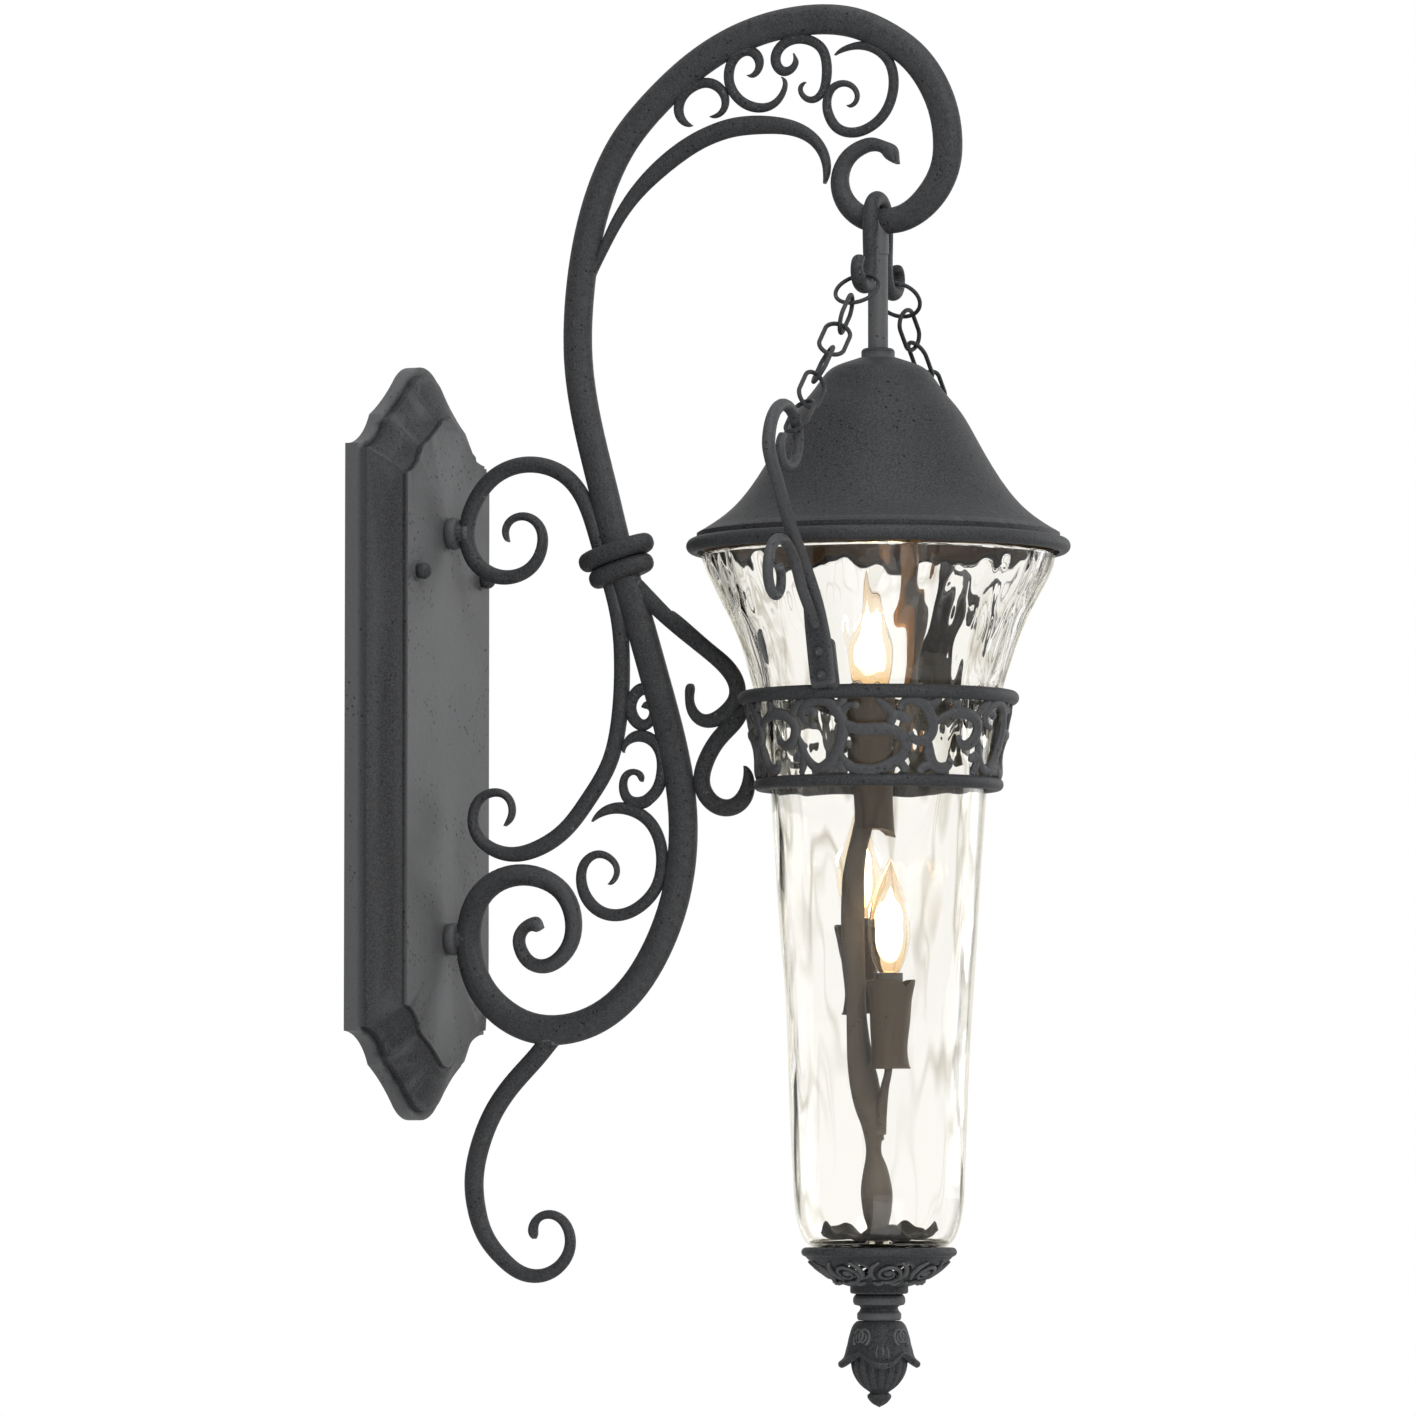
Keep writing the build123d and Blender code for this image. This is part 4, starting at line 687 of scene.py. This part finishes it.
class WALLLIGHT_OT_arms(bpy.types.Operator):
    """Forge the side arms with their flattened feet, and turn the bosses"""

    bl_idname = "walllight.arms"
    bl_label = "Side arms and bosses"

    def execute(self, context):
        look = context.scene.wall_light
        roof_low, roof_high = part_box("roof")
        size = (roof_high.x - roof_low.x) / 2
        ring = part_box("band_upper_ring")[0].z + RING_BEAD
        metal = painted("Forged black", look)
        flat_top, flat_run, flatness = 0.64, 0.30, 0.77

        def on_arm(hand, across, up):
            """A point of the arms' own plane, from shares of the roof's radius."""
            return Vector((AXIS.x + hand * across * size, AXIS.y, ring + up * size))

        spots = [
            (0.747, 9.8, 0.036), (0.779, 9.8, 0.140), (0.811, 9.6, 0.254), (0.842, 9.0, 0.335),
            (0.878, 8.0, 0.425), (0.945, 6.6, 0.530), (1.040, 5.4, 0.650), (1.142, 4.9, 0.764),
            (1.250, 4.7, 0.890), (1.350, 4.7, 1.020), (1.430, 4.7, 1.125),
        ]
        eye_steps, eye_across, eye_up = 16, 1.236, 1.228
        for step in range(eye_steps + 1):
            angle = radians(-5 + step * 25)
            radius = 0.233 - 0.171 * step / eye_steps
            width = 4.7 - 1.5 * step / eye_steps
            spots.append((eye_across + radius * cos(angle), width, eye_up + radius * sin(angle)))
        branch = (
            (0.842, 3.4, 0.330), (0.930, 3.9, 0.405), (1.030, 4.0, 0.505), (1.100, 4.0, 0.605),
            (1.180, 4.0, 0.690), (1.280, 4.0, 0.735), (1.380, 4.0, 0.725), (1.455, 3.9, 0.660),
            (1.480, 3.8, 0.565), (1.447, 3.7, 0.480), (1.375, 3.6, 0.448), (1.315, 3.5, 0.487),
            (1.308, 3.4, 0.560), (1.340, 3.3, 0.600),
        )
        for name, hand in (("front", -1), ("back", 1)):
            pieces = []
            for line in (spots, branch):
                soft = smooth_points(line, 5)
                path = [on_arm(hand, across, up) for across, width, up in soft]
                bar = forged_strip(f"forged_{name}", path, [width * MM for across, width, up in soft], 5)
                if line is spots:
                    out = Vector((hand * cos(LUG_SLOPE), 0, -sin(LUG_SLOPE)))
                    low = [point for point in path if point.z < ring + 0.66 * size]
                    for vertex in bar.data.vertices:
                        height = (vertex.co.z - ring) / size
                        if height < flat_top:
                            near = min(low, key=lambda point: (point - vertex.co).length)
                            away = (vertex.co - near).dot(out)
                            flat = flatness * min(1.0, (flat_top - height) / flat_run)
                            vertex.co -= out * away * flat
                pieces.append(bar)
            arm = join(f"forged_arm_{name}", pieces)
            dress(arm, metal, "bracket", [f"arm_{name}"])
        low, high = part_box("bracket_bosses")
        knobs = []
        spots = (
            (0, 0.0), (9.5, 0.0), (11.4, 1.2), (12.0, 4.2), (11.4, 7.4), (9.6, 9.2), (7.6, 10.2),
            (7.0, 13.0), (7.2, 20.0), (7.2, 40.0), (0, 40.0),
        )
        profile = [(radius * MM, min(out * MM, high.y - low.y)) for radius, out in spots]
        for level in (low.z + BOSS_RADIUS, high.z - BOSS_RADIUS):
            knob = spin_profile("knob", profile, Vector((0, 0, 0)), 48)
            knob.data.transform(Matrix.Translation((0, high.y, level)) @ Matrix.Rotation(pi / 2, 4, "X"))
            knobs.append(knob)
        bosses = join("turned_bosses", knobs)
        dress(bosses, metal, "bracket", ["bracket_bosses"])
        return {"FINISHED"}


class WALLLIGHT_OT_cup(bpy.types.Operator):
    """Carve the spiral medallions of the bottom cup"""

    bl_idname = "walllight.cup"
    bl_label = "Cup medallions"

    def execute(self, context):
        look = context.scene.wall_light
        slope = radians(35.8)
        cup_turn = radians(9)
        centre_radius = 39.5 * MM
        centre_level = cup_high.z - 17.6 * MM
        along = Vector((cos(slope), 0, sin(slope)))
        out = Vector((sin(slope), 0, -cos(slope)))
        centre = AXIS + Vector((centre_radius, 0, centre_level))

        def on_bowl(across, up, proud):
            """A point on the outside of the bowl, in millimetres about the medallion."""
            across_now = Vector((0, across * MM, 0))
            curve = (across * MM) ** 2 / (2 * centre_radius)
            return centre + across_now + along * up * MM + out * proud * MM - Vector((curve, 0, 0))

        turns = []
        for step in range(41):
            angle = radians(-100 + step * 15.5)
            radius = 10.2 - 8.4 * step / 40
            turns.append(on_bowl(radius * cos(angle), radius * sin(angle), 0.7))
        spiral = forged_strip("spiral", turns, [MM * (1.7 - 0.8 * n / 40) for n in range(41)], 3)
        pieces = [spiral]
        eye = [on_bowl(0, 0, proud) for proud in (-1.0, 0.6, 1.6)]
        pieces.append(forged_strip("eye", eye, [3.6 * MM, 3.4 * MM, 1.8 * MM], 4))
        for hand in (-1, 1):
            arm = ((8.5, -7.0, 0.4), (12.2, 0.0, 0.5), (12.4, 7.0, 0.4), (8.5, 13.2, 0.2))
            leaf = ((1.0, -9.0, 0.3), (5.0, -12.0, 0.4), (9.5, -11.0, 0.2))
            for name, spots in (("arm", arm), ("leaf", leaf)):
                path = [on_bowl(hand * across, up, proud) for across, up, proud in spots]
                pieces.append(swelling_strip(name, smooth_points(path, 5), 0.9 * MM, 2.0 * MM))
        medallion = join("medallion", pieces)
        copies = [copy_turned(medallion, (number + 0.5) * pi / 4 + cup_turn) for number in range(8)]
        bpy.data.objects.remove(medallion)
        ring = join("cup_medallions", copies)
        dress(ring, painted("Cup cast black", look), "bracket")
        return {"FINISHED"}


class WALLLIGHT_OT_finial(bpy.types.Operator):
    """Carve the petals and the fluted bud of the finial"""

    bl_idname = "walllight.finial"
    bl_label = "Finial"

    def execute(self, context):
        look = context.scene.wall_light
        radius = (finial_high.x - finial_low.x) / 2
        height = finial_high.z - finial_low.z
        top = finial_high.z
        leaves = 4
        first_turn = radians(-152)

        def lathe(name, shares, steps, shape):
            """A turned form whose radius and height are then carved by an angle."""
            outline = [(radius * a, 0, top + height * b) for a, b in shares]
            profile = [(point.x, point.z) for point in smooth_points(outline, 6)]
            piece = spin_profile(name, profile, AXIS, steps)
            for vertex in piece.data.vertices:
                side = Vector((vertex.co.x - AXIS.x, vertex.co.y - AXIS.y, 0))
                if side.length < 0.05 * MM:
                    continue
                angle = atan2(side.y, side.x) - first_turn
                grow, lift = shape(angle, (top - vertex.co.z) / height)
                vertex.co.x = AXIS.x + side.x * grow
                vertex.co.y = AXIS.y + side.y * grow
                vertex.co.z += lift
            return piece

        def leaf_shape(angle, part_way):
            """Four long leaves with flared tips, and short ones in the valleys between."""
            long_leaf = abs(cos(leaves * angle / 2)) ** 1.5
            short_leaf = abs(sin(leaves * angle / 2)) ** 4
            depth = min(1.0, max(0.0, part_way - 0.05) / 0.45)
            fold = 0.030 * (0.5 + 0.5 * cos(leaves * 2 * angle)) ** 6 * depth
            shrink = (1 - long_leaf) * (0.04 + 0.24 * depth**2) - short_leaf * 0.05 * depth
            return min(1.0, 1 - shrink + fold), (1 - long_leaf) * 0.13 * height * depth**2

        def bud_shape(angle, part_way):
            """Flutes that run down the bud, and a plain bead under it."""
            deep = 0.09 if part_way < 0.81 else 0.0
            return 1 - deep * (0.5 - 0.5 * cos(16 * angle)) ** 2, 0.0

        pieces = [
            lathe("leaf_bell", (
                (0.14, -0.002), (0.49, -0.002), (0.58, -0.02), (0.662, -0.073), (0.74, -0.190),
                (0.79, -0.300), (0.868, -0.423), (1.0, -0.488), (0.99, -0.525), (0.90, -0.545),
                (0.76, -0.49), (0.70, -0.40), (0.60, -0.36), (0.14, -0.34), (0.14, -0.002),
            ), 160, leaf_shape),
            lathe("bud", (
                (0.30, -0.34), (0.64, -0.35), (0.69, -0.47), (0.67, -0.56), (0.61, -0.64), (0.50, -0.72),
                (0.38, -0.775), (0.26, -0.815), (0.23, -0.832), (0.285, -0.855), (0.29, -0.885),
                (0.235, -0.925), (0.15, -0.962), (0.0, -0.999),
            ), 160, bud_shape),
        ]

        def on_bell(angle, across, share, proud=0.3):
            """A point on the leaves, from a length across and a share of the height down."""
            out = radius * (0.60 + 0.52 * share) + proud * MM
            here = angle + across * MM / out
            return AXIS + Vector((out * cos(here), out * sin(here), top - share * height))

        for number in range(leaves):
            angle = first_turn + number * 2 * pi / leaves
            for hand in (-1, 1):
                coil = []
                for step in range(29):
                    size = 6.6 - 4.8 * step / 28
                    turn = radians(-120 - step * 19)
                    share = 0.185 - size * sin(turn) * MM / height
                    coil.append(on_bell(angle + hand * pi / 4.6, hand * size * cos(turn) * 0.8, share, 0.2))
                pieces.append(forged_strip("coil", coil, [MM * (1.25 - 0.5 * n / 28) for n in range(29)]))
            tongue = (
                (0, 0.16), (-3.6, 0.30), (-4.4, 0.40), (-2.4, 0.475), (0.4, 0.50), (3.0, 0.47),
                (4.2, 0.40), (3.2, 0.30), (0.8, 0.24),
            )
            path = smooth_points([on_bell(angle, across, share) for across, share in tongue], 4)
            pieces.append(swelling_strip("tongue", path, 0.5 * MM, 1.1 * MM))
            vein = [on_bell(angle, 0.3, 0.22 + 0.24 * step / 6, 0.2) for step in range(7)]
            pieces.append(swelling_strip("vein", vein, 0.5 * MM, 1.1 * MM))
        for piece in pieces:
            for vertex in piece.data.vertices:
                side = Vector((vertex.co.x - AXIS.x, vertex.co.y - AXIS.y, 0))
                if side.length > radius:
                    vertex.co.x = AXIS.x + side.x * radius / side.length
                    vertex.co.y = AXIS.y + side.y * radius / side.length
        finial = join("carved_finial", pieces)
        dress(finial, painted("Finial cast black", look), "finial_knob", ["finial"])
        return {"FINISHED"}


class WALLLIGHT_OT_vine(bpy.types.Operator):
    """Forge the vine that carries the lights, with its turned foot and its two branches"""

    bl_idname = "walllight.vine"
    bl_label = "Vine"

    def execute(self, context):
        look = context.scene.wall_light
        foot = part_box("vine_stem")[0].z
        size = 297 * MM

        def on_vine(turn, across, up):
            """A point of a plane through the axis, from shares of the vine's height."""
            reach = across * size
            return Vector((AXIS.x + reach * cos(turn), AXIS.y + reach * sin(turn), foot + up * size))

        def limb(name, turn, spots, flat):
            """A limb whose half width is given at each spot, flattened across its own plane."""
            soft = smooth_points(spots, 6)
            path = [on_vine(turn, across, up) for across, width, up in soft]
            piece = forged_strip(name, path, [width * MM for across, width, up in soft], 5)
            side = Vector((sin(turn), -cos(turn), 0))
            for vertex in piece.data.vertices:
                height = (vertex.co.z - foot) / size
                squeeze = flat * min(1.0, max(0.0, (height - 0.16) / 0.10))
                away = (vertex.co - AXIS).dot(side)
                vertex.co -= side * away * squeeze
            return piece

        pieces = [
            limb("trunk", VIEW_TURN, (
                (0, 15.2, 0.001), (0, 15.2, 0.018), (-0.002, 8.3, 0.035), (-0.005, 10.3, 0.072),
                (-0.006, 11.8, 0.122), (-0.008, 9.3, 0.172), (-0.013, 5.6, 0.209), (-0.014, 5.2, 0.234),
                (-0.015, 7.4, 0.271), (-0.022, 9.8, 0.321), (-0.034, 9.8, 0.384), (-0.045, 8.9, 0.446),
                (-0.058, 7.6, 0.570), (-0.064, 7.4, 0.695), (-0.063, 7.6, 0.819), (-0.061, 7.4, 0.880),
                (-0.052, 7.2, 0.944), (-0.036, 7.6, 1.000), (-0.030, 7.0, 1.030),
            ), 0.35),
            limb("front_branch", radians(-137.5), (
                (0.002, 4.6, 0.262), (0.014, 4.2, 0.315), (0.040, 3.4, 0.370), (0.064, 3.0, 0.405),
                (0.0714, 3.4, 0.440),
            ), 0),
            limb("rear_branch", radians(45.5), (
                (0, 3.2, 0.248), (0.034, 3.6, 0.316), (0.088, 3.4, 0.417), (0.111, 3.2, 0.501),
                (0.116, 3.4, 0.555),
            ), 0),
        ]
        high = (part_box("feed_tube")[1].z - foot) / size
        feed = limb("feed_vine", VIEW_TURN, (
            (0, 4.6, high - 0.002), (0, 4.6, high - 0.030), (0.016, 4.6, high - 0.085),
            (0.048, 4.7, 1.800), (0.074, 4.7, 1.660), (0.092, 4.6, 1.500), (0.098, 4.5, 1.380),
            (0.086, 4.4, 1.280), (0.058, 4.4, 1.205), (0.034, 4.3, 1.150), (0.006, 4.2, 1.080),
            (-0.018, 4.0, 1.020),
        ), 0)
        dress(feed, bronzed("Feed bronze", look), "bracket", ["feed_tube"])
        leaf = limb("feed_leaf", VIEW_TURN, (
            (0.012, 0.8, 1.960), (0.036, 6.5, 1.860), (0.056, 12.0, 1.750), (0.068, 11.0, 1.620),
            (0.078, 7.0, 1.460), (0.084, 3.4, 1.300), (0.086, 0.8, 1.180),
        ), 0.62)
        # The feed leaf is painted with the upper bulb's warm glow instead of its own bronze.
        painted_bulb_glow = cast_metal("Feed leaf", tuple(look.painted_bulb_glow), darker(tuple(look.painted_bulb_glow), 2.2), 0.8)
        dress(leaf, painted_bulb_glow, "bracket")
        vine = join("forged_vine", pieces)
        dress(vine, bronzed("Vine bronze", look), "bracket", ["vine_stem"])
        return {"FINISHED"}


class WALLLIGHT_OT_leaves(bpy.types.Operator):
    """Fold the leaf cups of the candles and the leaves at the vine's foot"""

    bl_idname = "walllight.leaves"
    bl_label = "Leaf cups"

    def execute(self, context):
        look = context.scene.wall_light
        lean, tip, lean_top = 2.0 * MM, 6.0 * MM, 0.6
        pieces = []
        for place, size in (("top", 98 * MM), ("front", 62 * MM), ("rear", 62 * MM)):
            low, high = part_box(f"bulb_cap_{place}")
            centre = Vector(((low.x + high.x) / 2, (low.y + high.y) / 2, 0))
            rim = high.z - 6.5 * MM
            wide = 18.0 * MM
            narrow = 14.4 * MM
            outline = [
                (7.5 * MM, 0, rim - size + MM), (narrow + 0.6 * MM, 0, rim - size),
                (narrow, 0, rim - size + 3 * MM), (narrow - 1.0 * MM, 0, rim - size * 0.78),
                (narrow + 0.2 * MM, 0, rim - size * 0.5),
                (wide * 0.87, 0, rim - size * 0.2), (wide, 0, rim), (wide - 1.4 * MM, 0, rim + 0.6 * MM),
                (wide - 3.0 * MM, 0, rim - 7 * MM), (9.9 * MM, 0, rim - 13 * MM),
                (9.6 * MM, 0, rim - 18 * MM),
            ]
            profile = [(point.x, point.z) for point in smooth_points(outline, 5)]
            cup = spin_profile("leaf_cup", profile, centre, 100)
            for vertex in cup.data.vertices:
                side = Vector((vertex.co.x - centre.x, vertex.co.y - centre.y, 0))
                angle = atan2(side.y, side.x)
                share = (vertex.co.z - (rim - size)) / size
                if side.length > 10.4 * MM:
                    leaf = abs(cos(1.5 * (angle + 0.9 + 0.7 * (1 - share))))
                    grow = 1 - 0.12 * (1 - leaf) ** 2
                    vertex.co.x = centre.x + side.x * grow
                    vertex.co.y = centre.y + side.y * grow
                if share > 0.85:
                    notch = (1 - abs(cos(1.5 * (angle + 0.9)))) ** 2
                    vertex.co.z -= notch * 5.0 * MM * (share - 0.85) / 0.15
                if place == "top" and share < lean_top:
                    low_part = 1 - max(0.0, share) / lean_top
                    right = max(0.0, cos(angle - VIEW_TURN))
                    vertex.co.x += cos(VIEW_TURN) * lean * low_part
                    vertex.co.y += sin(VIEW_TURN) * lean * low_part
                    vertex.co.z -= tip * right**3 * low_part**3
            pieces.append(cup)
        cups = join("leaf_cups", pieces)
        dress(cups, leaf_bronze(look), "bracket", ["candle_cups"])
        floor = SHADE_FOOT + 3.9 * MM
        rosette = spin_profile("foot_leaves", [
            (point.x, point.z) for point in smooth_points([
                (12 * MM, 0, floor + 1.0 * MM), (22 * MM, 0, floor + 2.2 * MM),
                (32 * MM, 0, floor + 1.6 * MM), (38 * MM, 0, floor + 3.0 * MM),
                (41.5 * MM, 0, floor + 5.0 * MM),
            ], 6)
        ], AXIS, 150)
        for vertex in rosette.data.vertices:
            side = Vector((vertex.co.x - AXIS.x, vertex.co.y - AXIS.y, 0))
            angle = atan2(side.y, side.x)
            out = (side.length - 12 * MM) / (29.5 * MM)
            lift = (0.5 + 0.5 * cos(5 * angle + 0.7)) ** 1.6
            vertex.co.z += lift * 8 * MM * max(0.0, out) ** 1.6 + 1.6 * MM * out * cos(13 * angle + 0.4)
        add_modifier(rosette, "SOLIDIFY", thickness=1.4 * MM, offset=0.0)
        bpy.ops.object.shade_smooth()
        dark = cast_metal("Foot bronze", darker(tuple(look.bronze), 0.6), tuple(look.bronze), 0.8)
        dress(rosette, dark, "bracket")
        return {"FINISHED"}


class WALLLIGHT_OT_bulbs(bpy.types.Operator):
    """Light the candle bulbs"""

    bl_idname = "walllight.bulbs"
    bl_label = "Candle bulbs"

    def execute(self, context):
        for place in ("top", "front", "rear"):
            node = nodes[f"bulb_{place}"]
            low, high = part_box(f"bulb_{place}")
            node.data.materials.clear()
            node.data.materials.append(lit_glass(f"Lit bulb {place}", low.z, high.z - low.z))
            middle = (low + high) / 2
            height = high.z - low.z
            shares = (
                (0, 0.08), (4.4, 0.11), (8.6, 0.22), (9.6, 0.36), (6.6, 0.52), (2.4, 0.68), (0, 0.75),
            )
            flame = [(radius * MM, 0, low.z + height * share) for radius, share in shares]
            profile = [(point.x, point.z) for point in smooth_points(flame, 4)]
            core = spin_profile(f"glow_core_{place}", profile, middle, 32)
            light = glow(f"Glow {place}", low.z + height * 0.14, height * 0.66)
            dress(core, light, f"lamp_{place}")
            deselect()
            bpy.ops.object.light_add(type="POINT", location=middle)
            lamp = context.object
            lamp.name = f"Light {place}"
            lamp.data.energy = 0.5
            lamp.data.color = (1.0, 0.72, 0.42)
            lamp.data.shadow_soft_size = 0.016
        return {"FINISHED"}


class WALLLIGHT_OT_stage(bpy.types.Operator):
    """Set the floor, the lamps and the camera"""

    bl_idname = "walllight.stage"
    bl_label = "Stage"

    def execute(self, context):
        scene = context.scene
        scene.view_settings.view_transform = "Standard"
        deselect()
        bpy.ops.mesh.primitive_plane_add(size=60, location=(0, 0, -1.9))
        floor = context.object
        floor.name = "floor"
        bpy.ops.object.transform_apply(location=True, rotation=False, scale=False)
        shader = Shader("Pale floor")
        shader.surface.inputs["Base Color"].default_value = grey(0.86)
        shader.surface.inputs["Roughness"].default_value = 0.9
        rays = shader.add("ShaderNodeLightPath")
        seen = Wire(shader, rays.outputs["Is Camera Ray"]) + Wire(shader, rays.outputs["Is Glossy Ray"])
        seen = (seen + Wire(shader, rays.outputs["Is Transmission Ray"])).clamp()
        white = shader.add("ShaderNodeEmission", {}, {"Color": (1, 1, 1, 1), "Strength": 1.0})
        mixed = shader.add("ShaderNodeMixShader", {}, {0: seen})
        shader.tree.links.new(shader.surface.outputs[0], mixed.inputs[1])
        shader.tree.links.new(white.outputs[0], mixed.inputs[2])
        shader.tree.links.new(mixed.outputs[0], shader.output.inputs["Surface"])
        floor.data.materials.append(shader.material)
        for name, spot, size, power in (
            ("Key", (-2.6, -2.6, 2.2), 1.8, 95),
            ("Fill", (2.8, -2.4, 0.6), 2.4, 45),
            ("Top", (-0.4, -0.6, 2.8), 2.0, 40),
            ("Low", (-1.6, -1.4, -1.4), 1.4, 16),
        ):
            bpy.ops.object.light_add(type="AREA", location=spot)
            lamp = context.object
            lamp.name = name
            lamp.data.size = size
            lamp.data.energy = power
            aim = Vector((0, -0.22, 0.02)) - Vector(spot)
            lamp.rotation_euler = aim.to_track_quat("-Z", "Y").to_euler()
        world = bpy.data.worlds.new("Studio")
        scene.world = world
        world.use_nodes = True
        tree = world.node_tree
        light = tree.nodes["Background"]
        light.inputs["Color"].default_value = (1, 1, 1, 1)
        light.inputs["Strength"].default_value = 0.42
        shown = tree.nodes.new("ShaderNodeBackground")
        shown.inputs["Color"].default_value = (1, 1, 1, 1)
        rays = tree.nodes.new("ShaderNodeLightPath")
        first = tree.nodes.new("ShaderNodeMath")
        first.operation = "ADD"
        second = tree.nodes.new("ShaderNodeMath")
        second.operation = "ADD"
        second.use_clamp = True
        mixed = tree.nodes.new("ShaderNodeMixShader")
        tree.links.new(rays.outputs["Is Camera Ray"], first.inputs[0])
        tree.links.new(rays.outputs["Is Glossy Ray"], first.inputs[1])
        tree.links.new(first.outputs[0], second.inputs[0])
        tree.links.new(rays.outputs["Is Transmission Ray"], second.inputs[1])
        tree.links.new(second.outputs[0], mixed.inputs[0])
        tree.links.new(light.outputs[0], mixed.inputs[1])
        tree.links.new(shown.outputs[0], mixed.inputs[2])
        tree.links.new(mixed.outputs[0], tree.nodes["World Output"].inputs["Surface"])
        bpy.ops.object.camera_add(
            location=(-5.2228, -2.4877, -0.2973), rotation=(radians(93.2), 0, VIEW_TURN)
        )
        camera = context.object
        camera.data.sensor_width = 36
        camera.data.lens = 200.8
        scene.camera = camera
        return {"FINISHED"}


PIECES = (
    WALLLIGHT_OT_metal,
    WALLLIGHT_OT_band,
    WALLLIGHT_OT_arms,
    WALLLIGHT_OT_cup,
    WALLLIGHT_OT_finial,
    WALLLIGHT_OT_vine,
    WALLLIGHT_OT_leaves,
    WALLLIGHT_OT_shade,
    WALLLIGHT_OT_bulbs,
    WALLLIGHT_OT_stage,
)


class WALLLIGHT_PT_panel(bpy.types.Panel):
    """Sidebar panel of the wall light"""

    bl_idname = "WALLLIGHT_PT_panel"
    bl_label = "Wall light"
    bl_space_type = "VIEW_3D"
    bl_region_type = "UI"
    bl_category = "Wall light"

    def draw(self, context):
        look = context.scene.wall_light
        for name in ("paint", "paint_wear_and_highlight", "bronze", "leaf", "painted_bulb_glow", "glass_tint", "ripple", "glass_wall"):
            self.layout.prop(look, name)
        for piece in PIECES:
            self.layout.operator(piece.bl_idname)


def register():
    for cls in (WallLightLook, *PIECES, WALLLIGHT_PT_panel):
        bpy.utils.register_class(cls)
    bpy.types.Scene.wall_light = bpy.props.PointerProperty(type=WallLightLook)


def unregister():
    del bpy.types.Scene.wall_light
    for cls in reversed((WallLightLook, *PIECES, WALLLIGHT_PT_panel)):
        bpy.utils.unregister_class(cls)


def main():
    register()
    for piece in PIECES:
        group, name = piece.bl_idname.split(".")
        getattr(getattr(bpy.ops, group), name)()


if __name__ == "__main__":
    main()
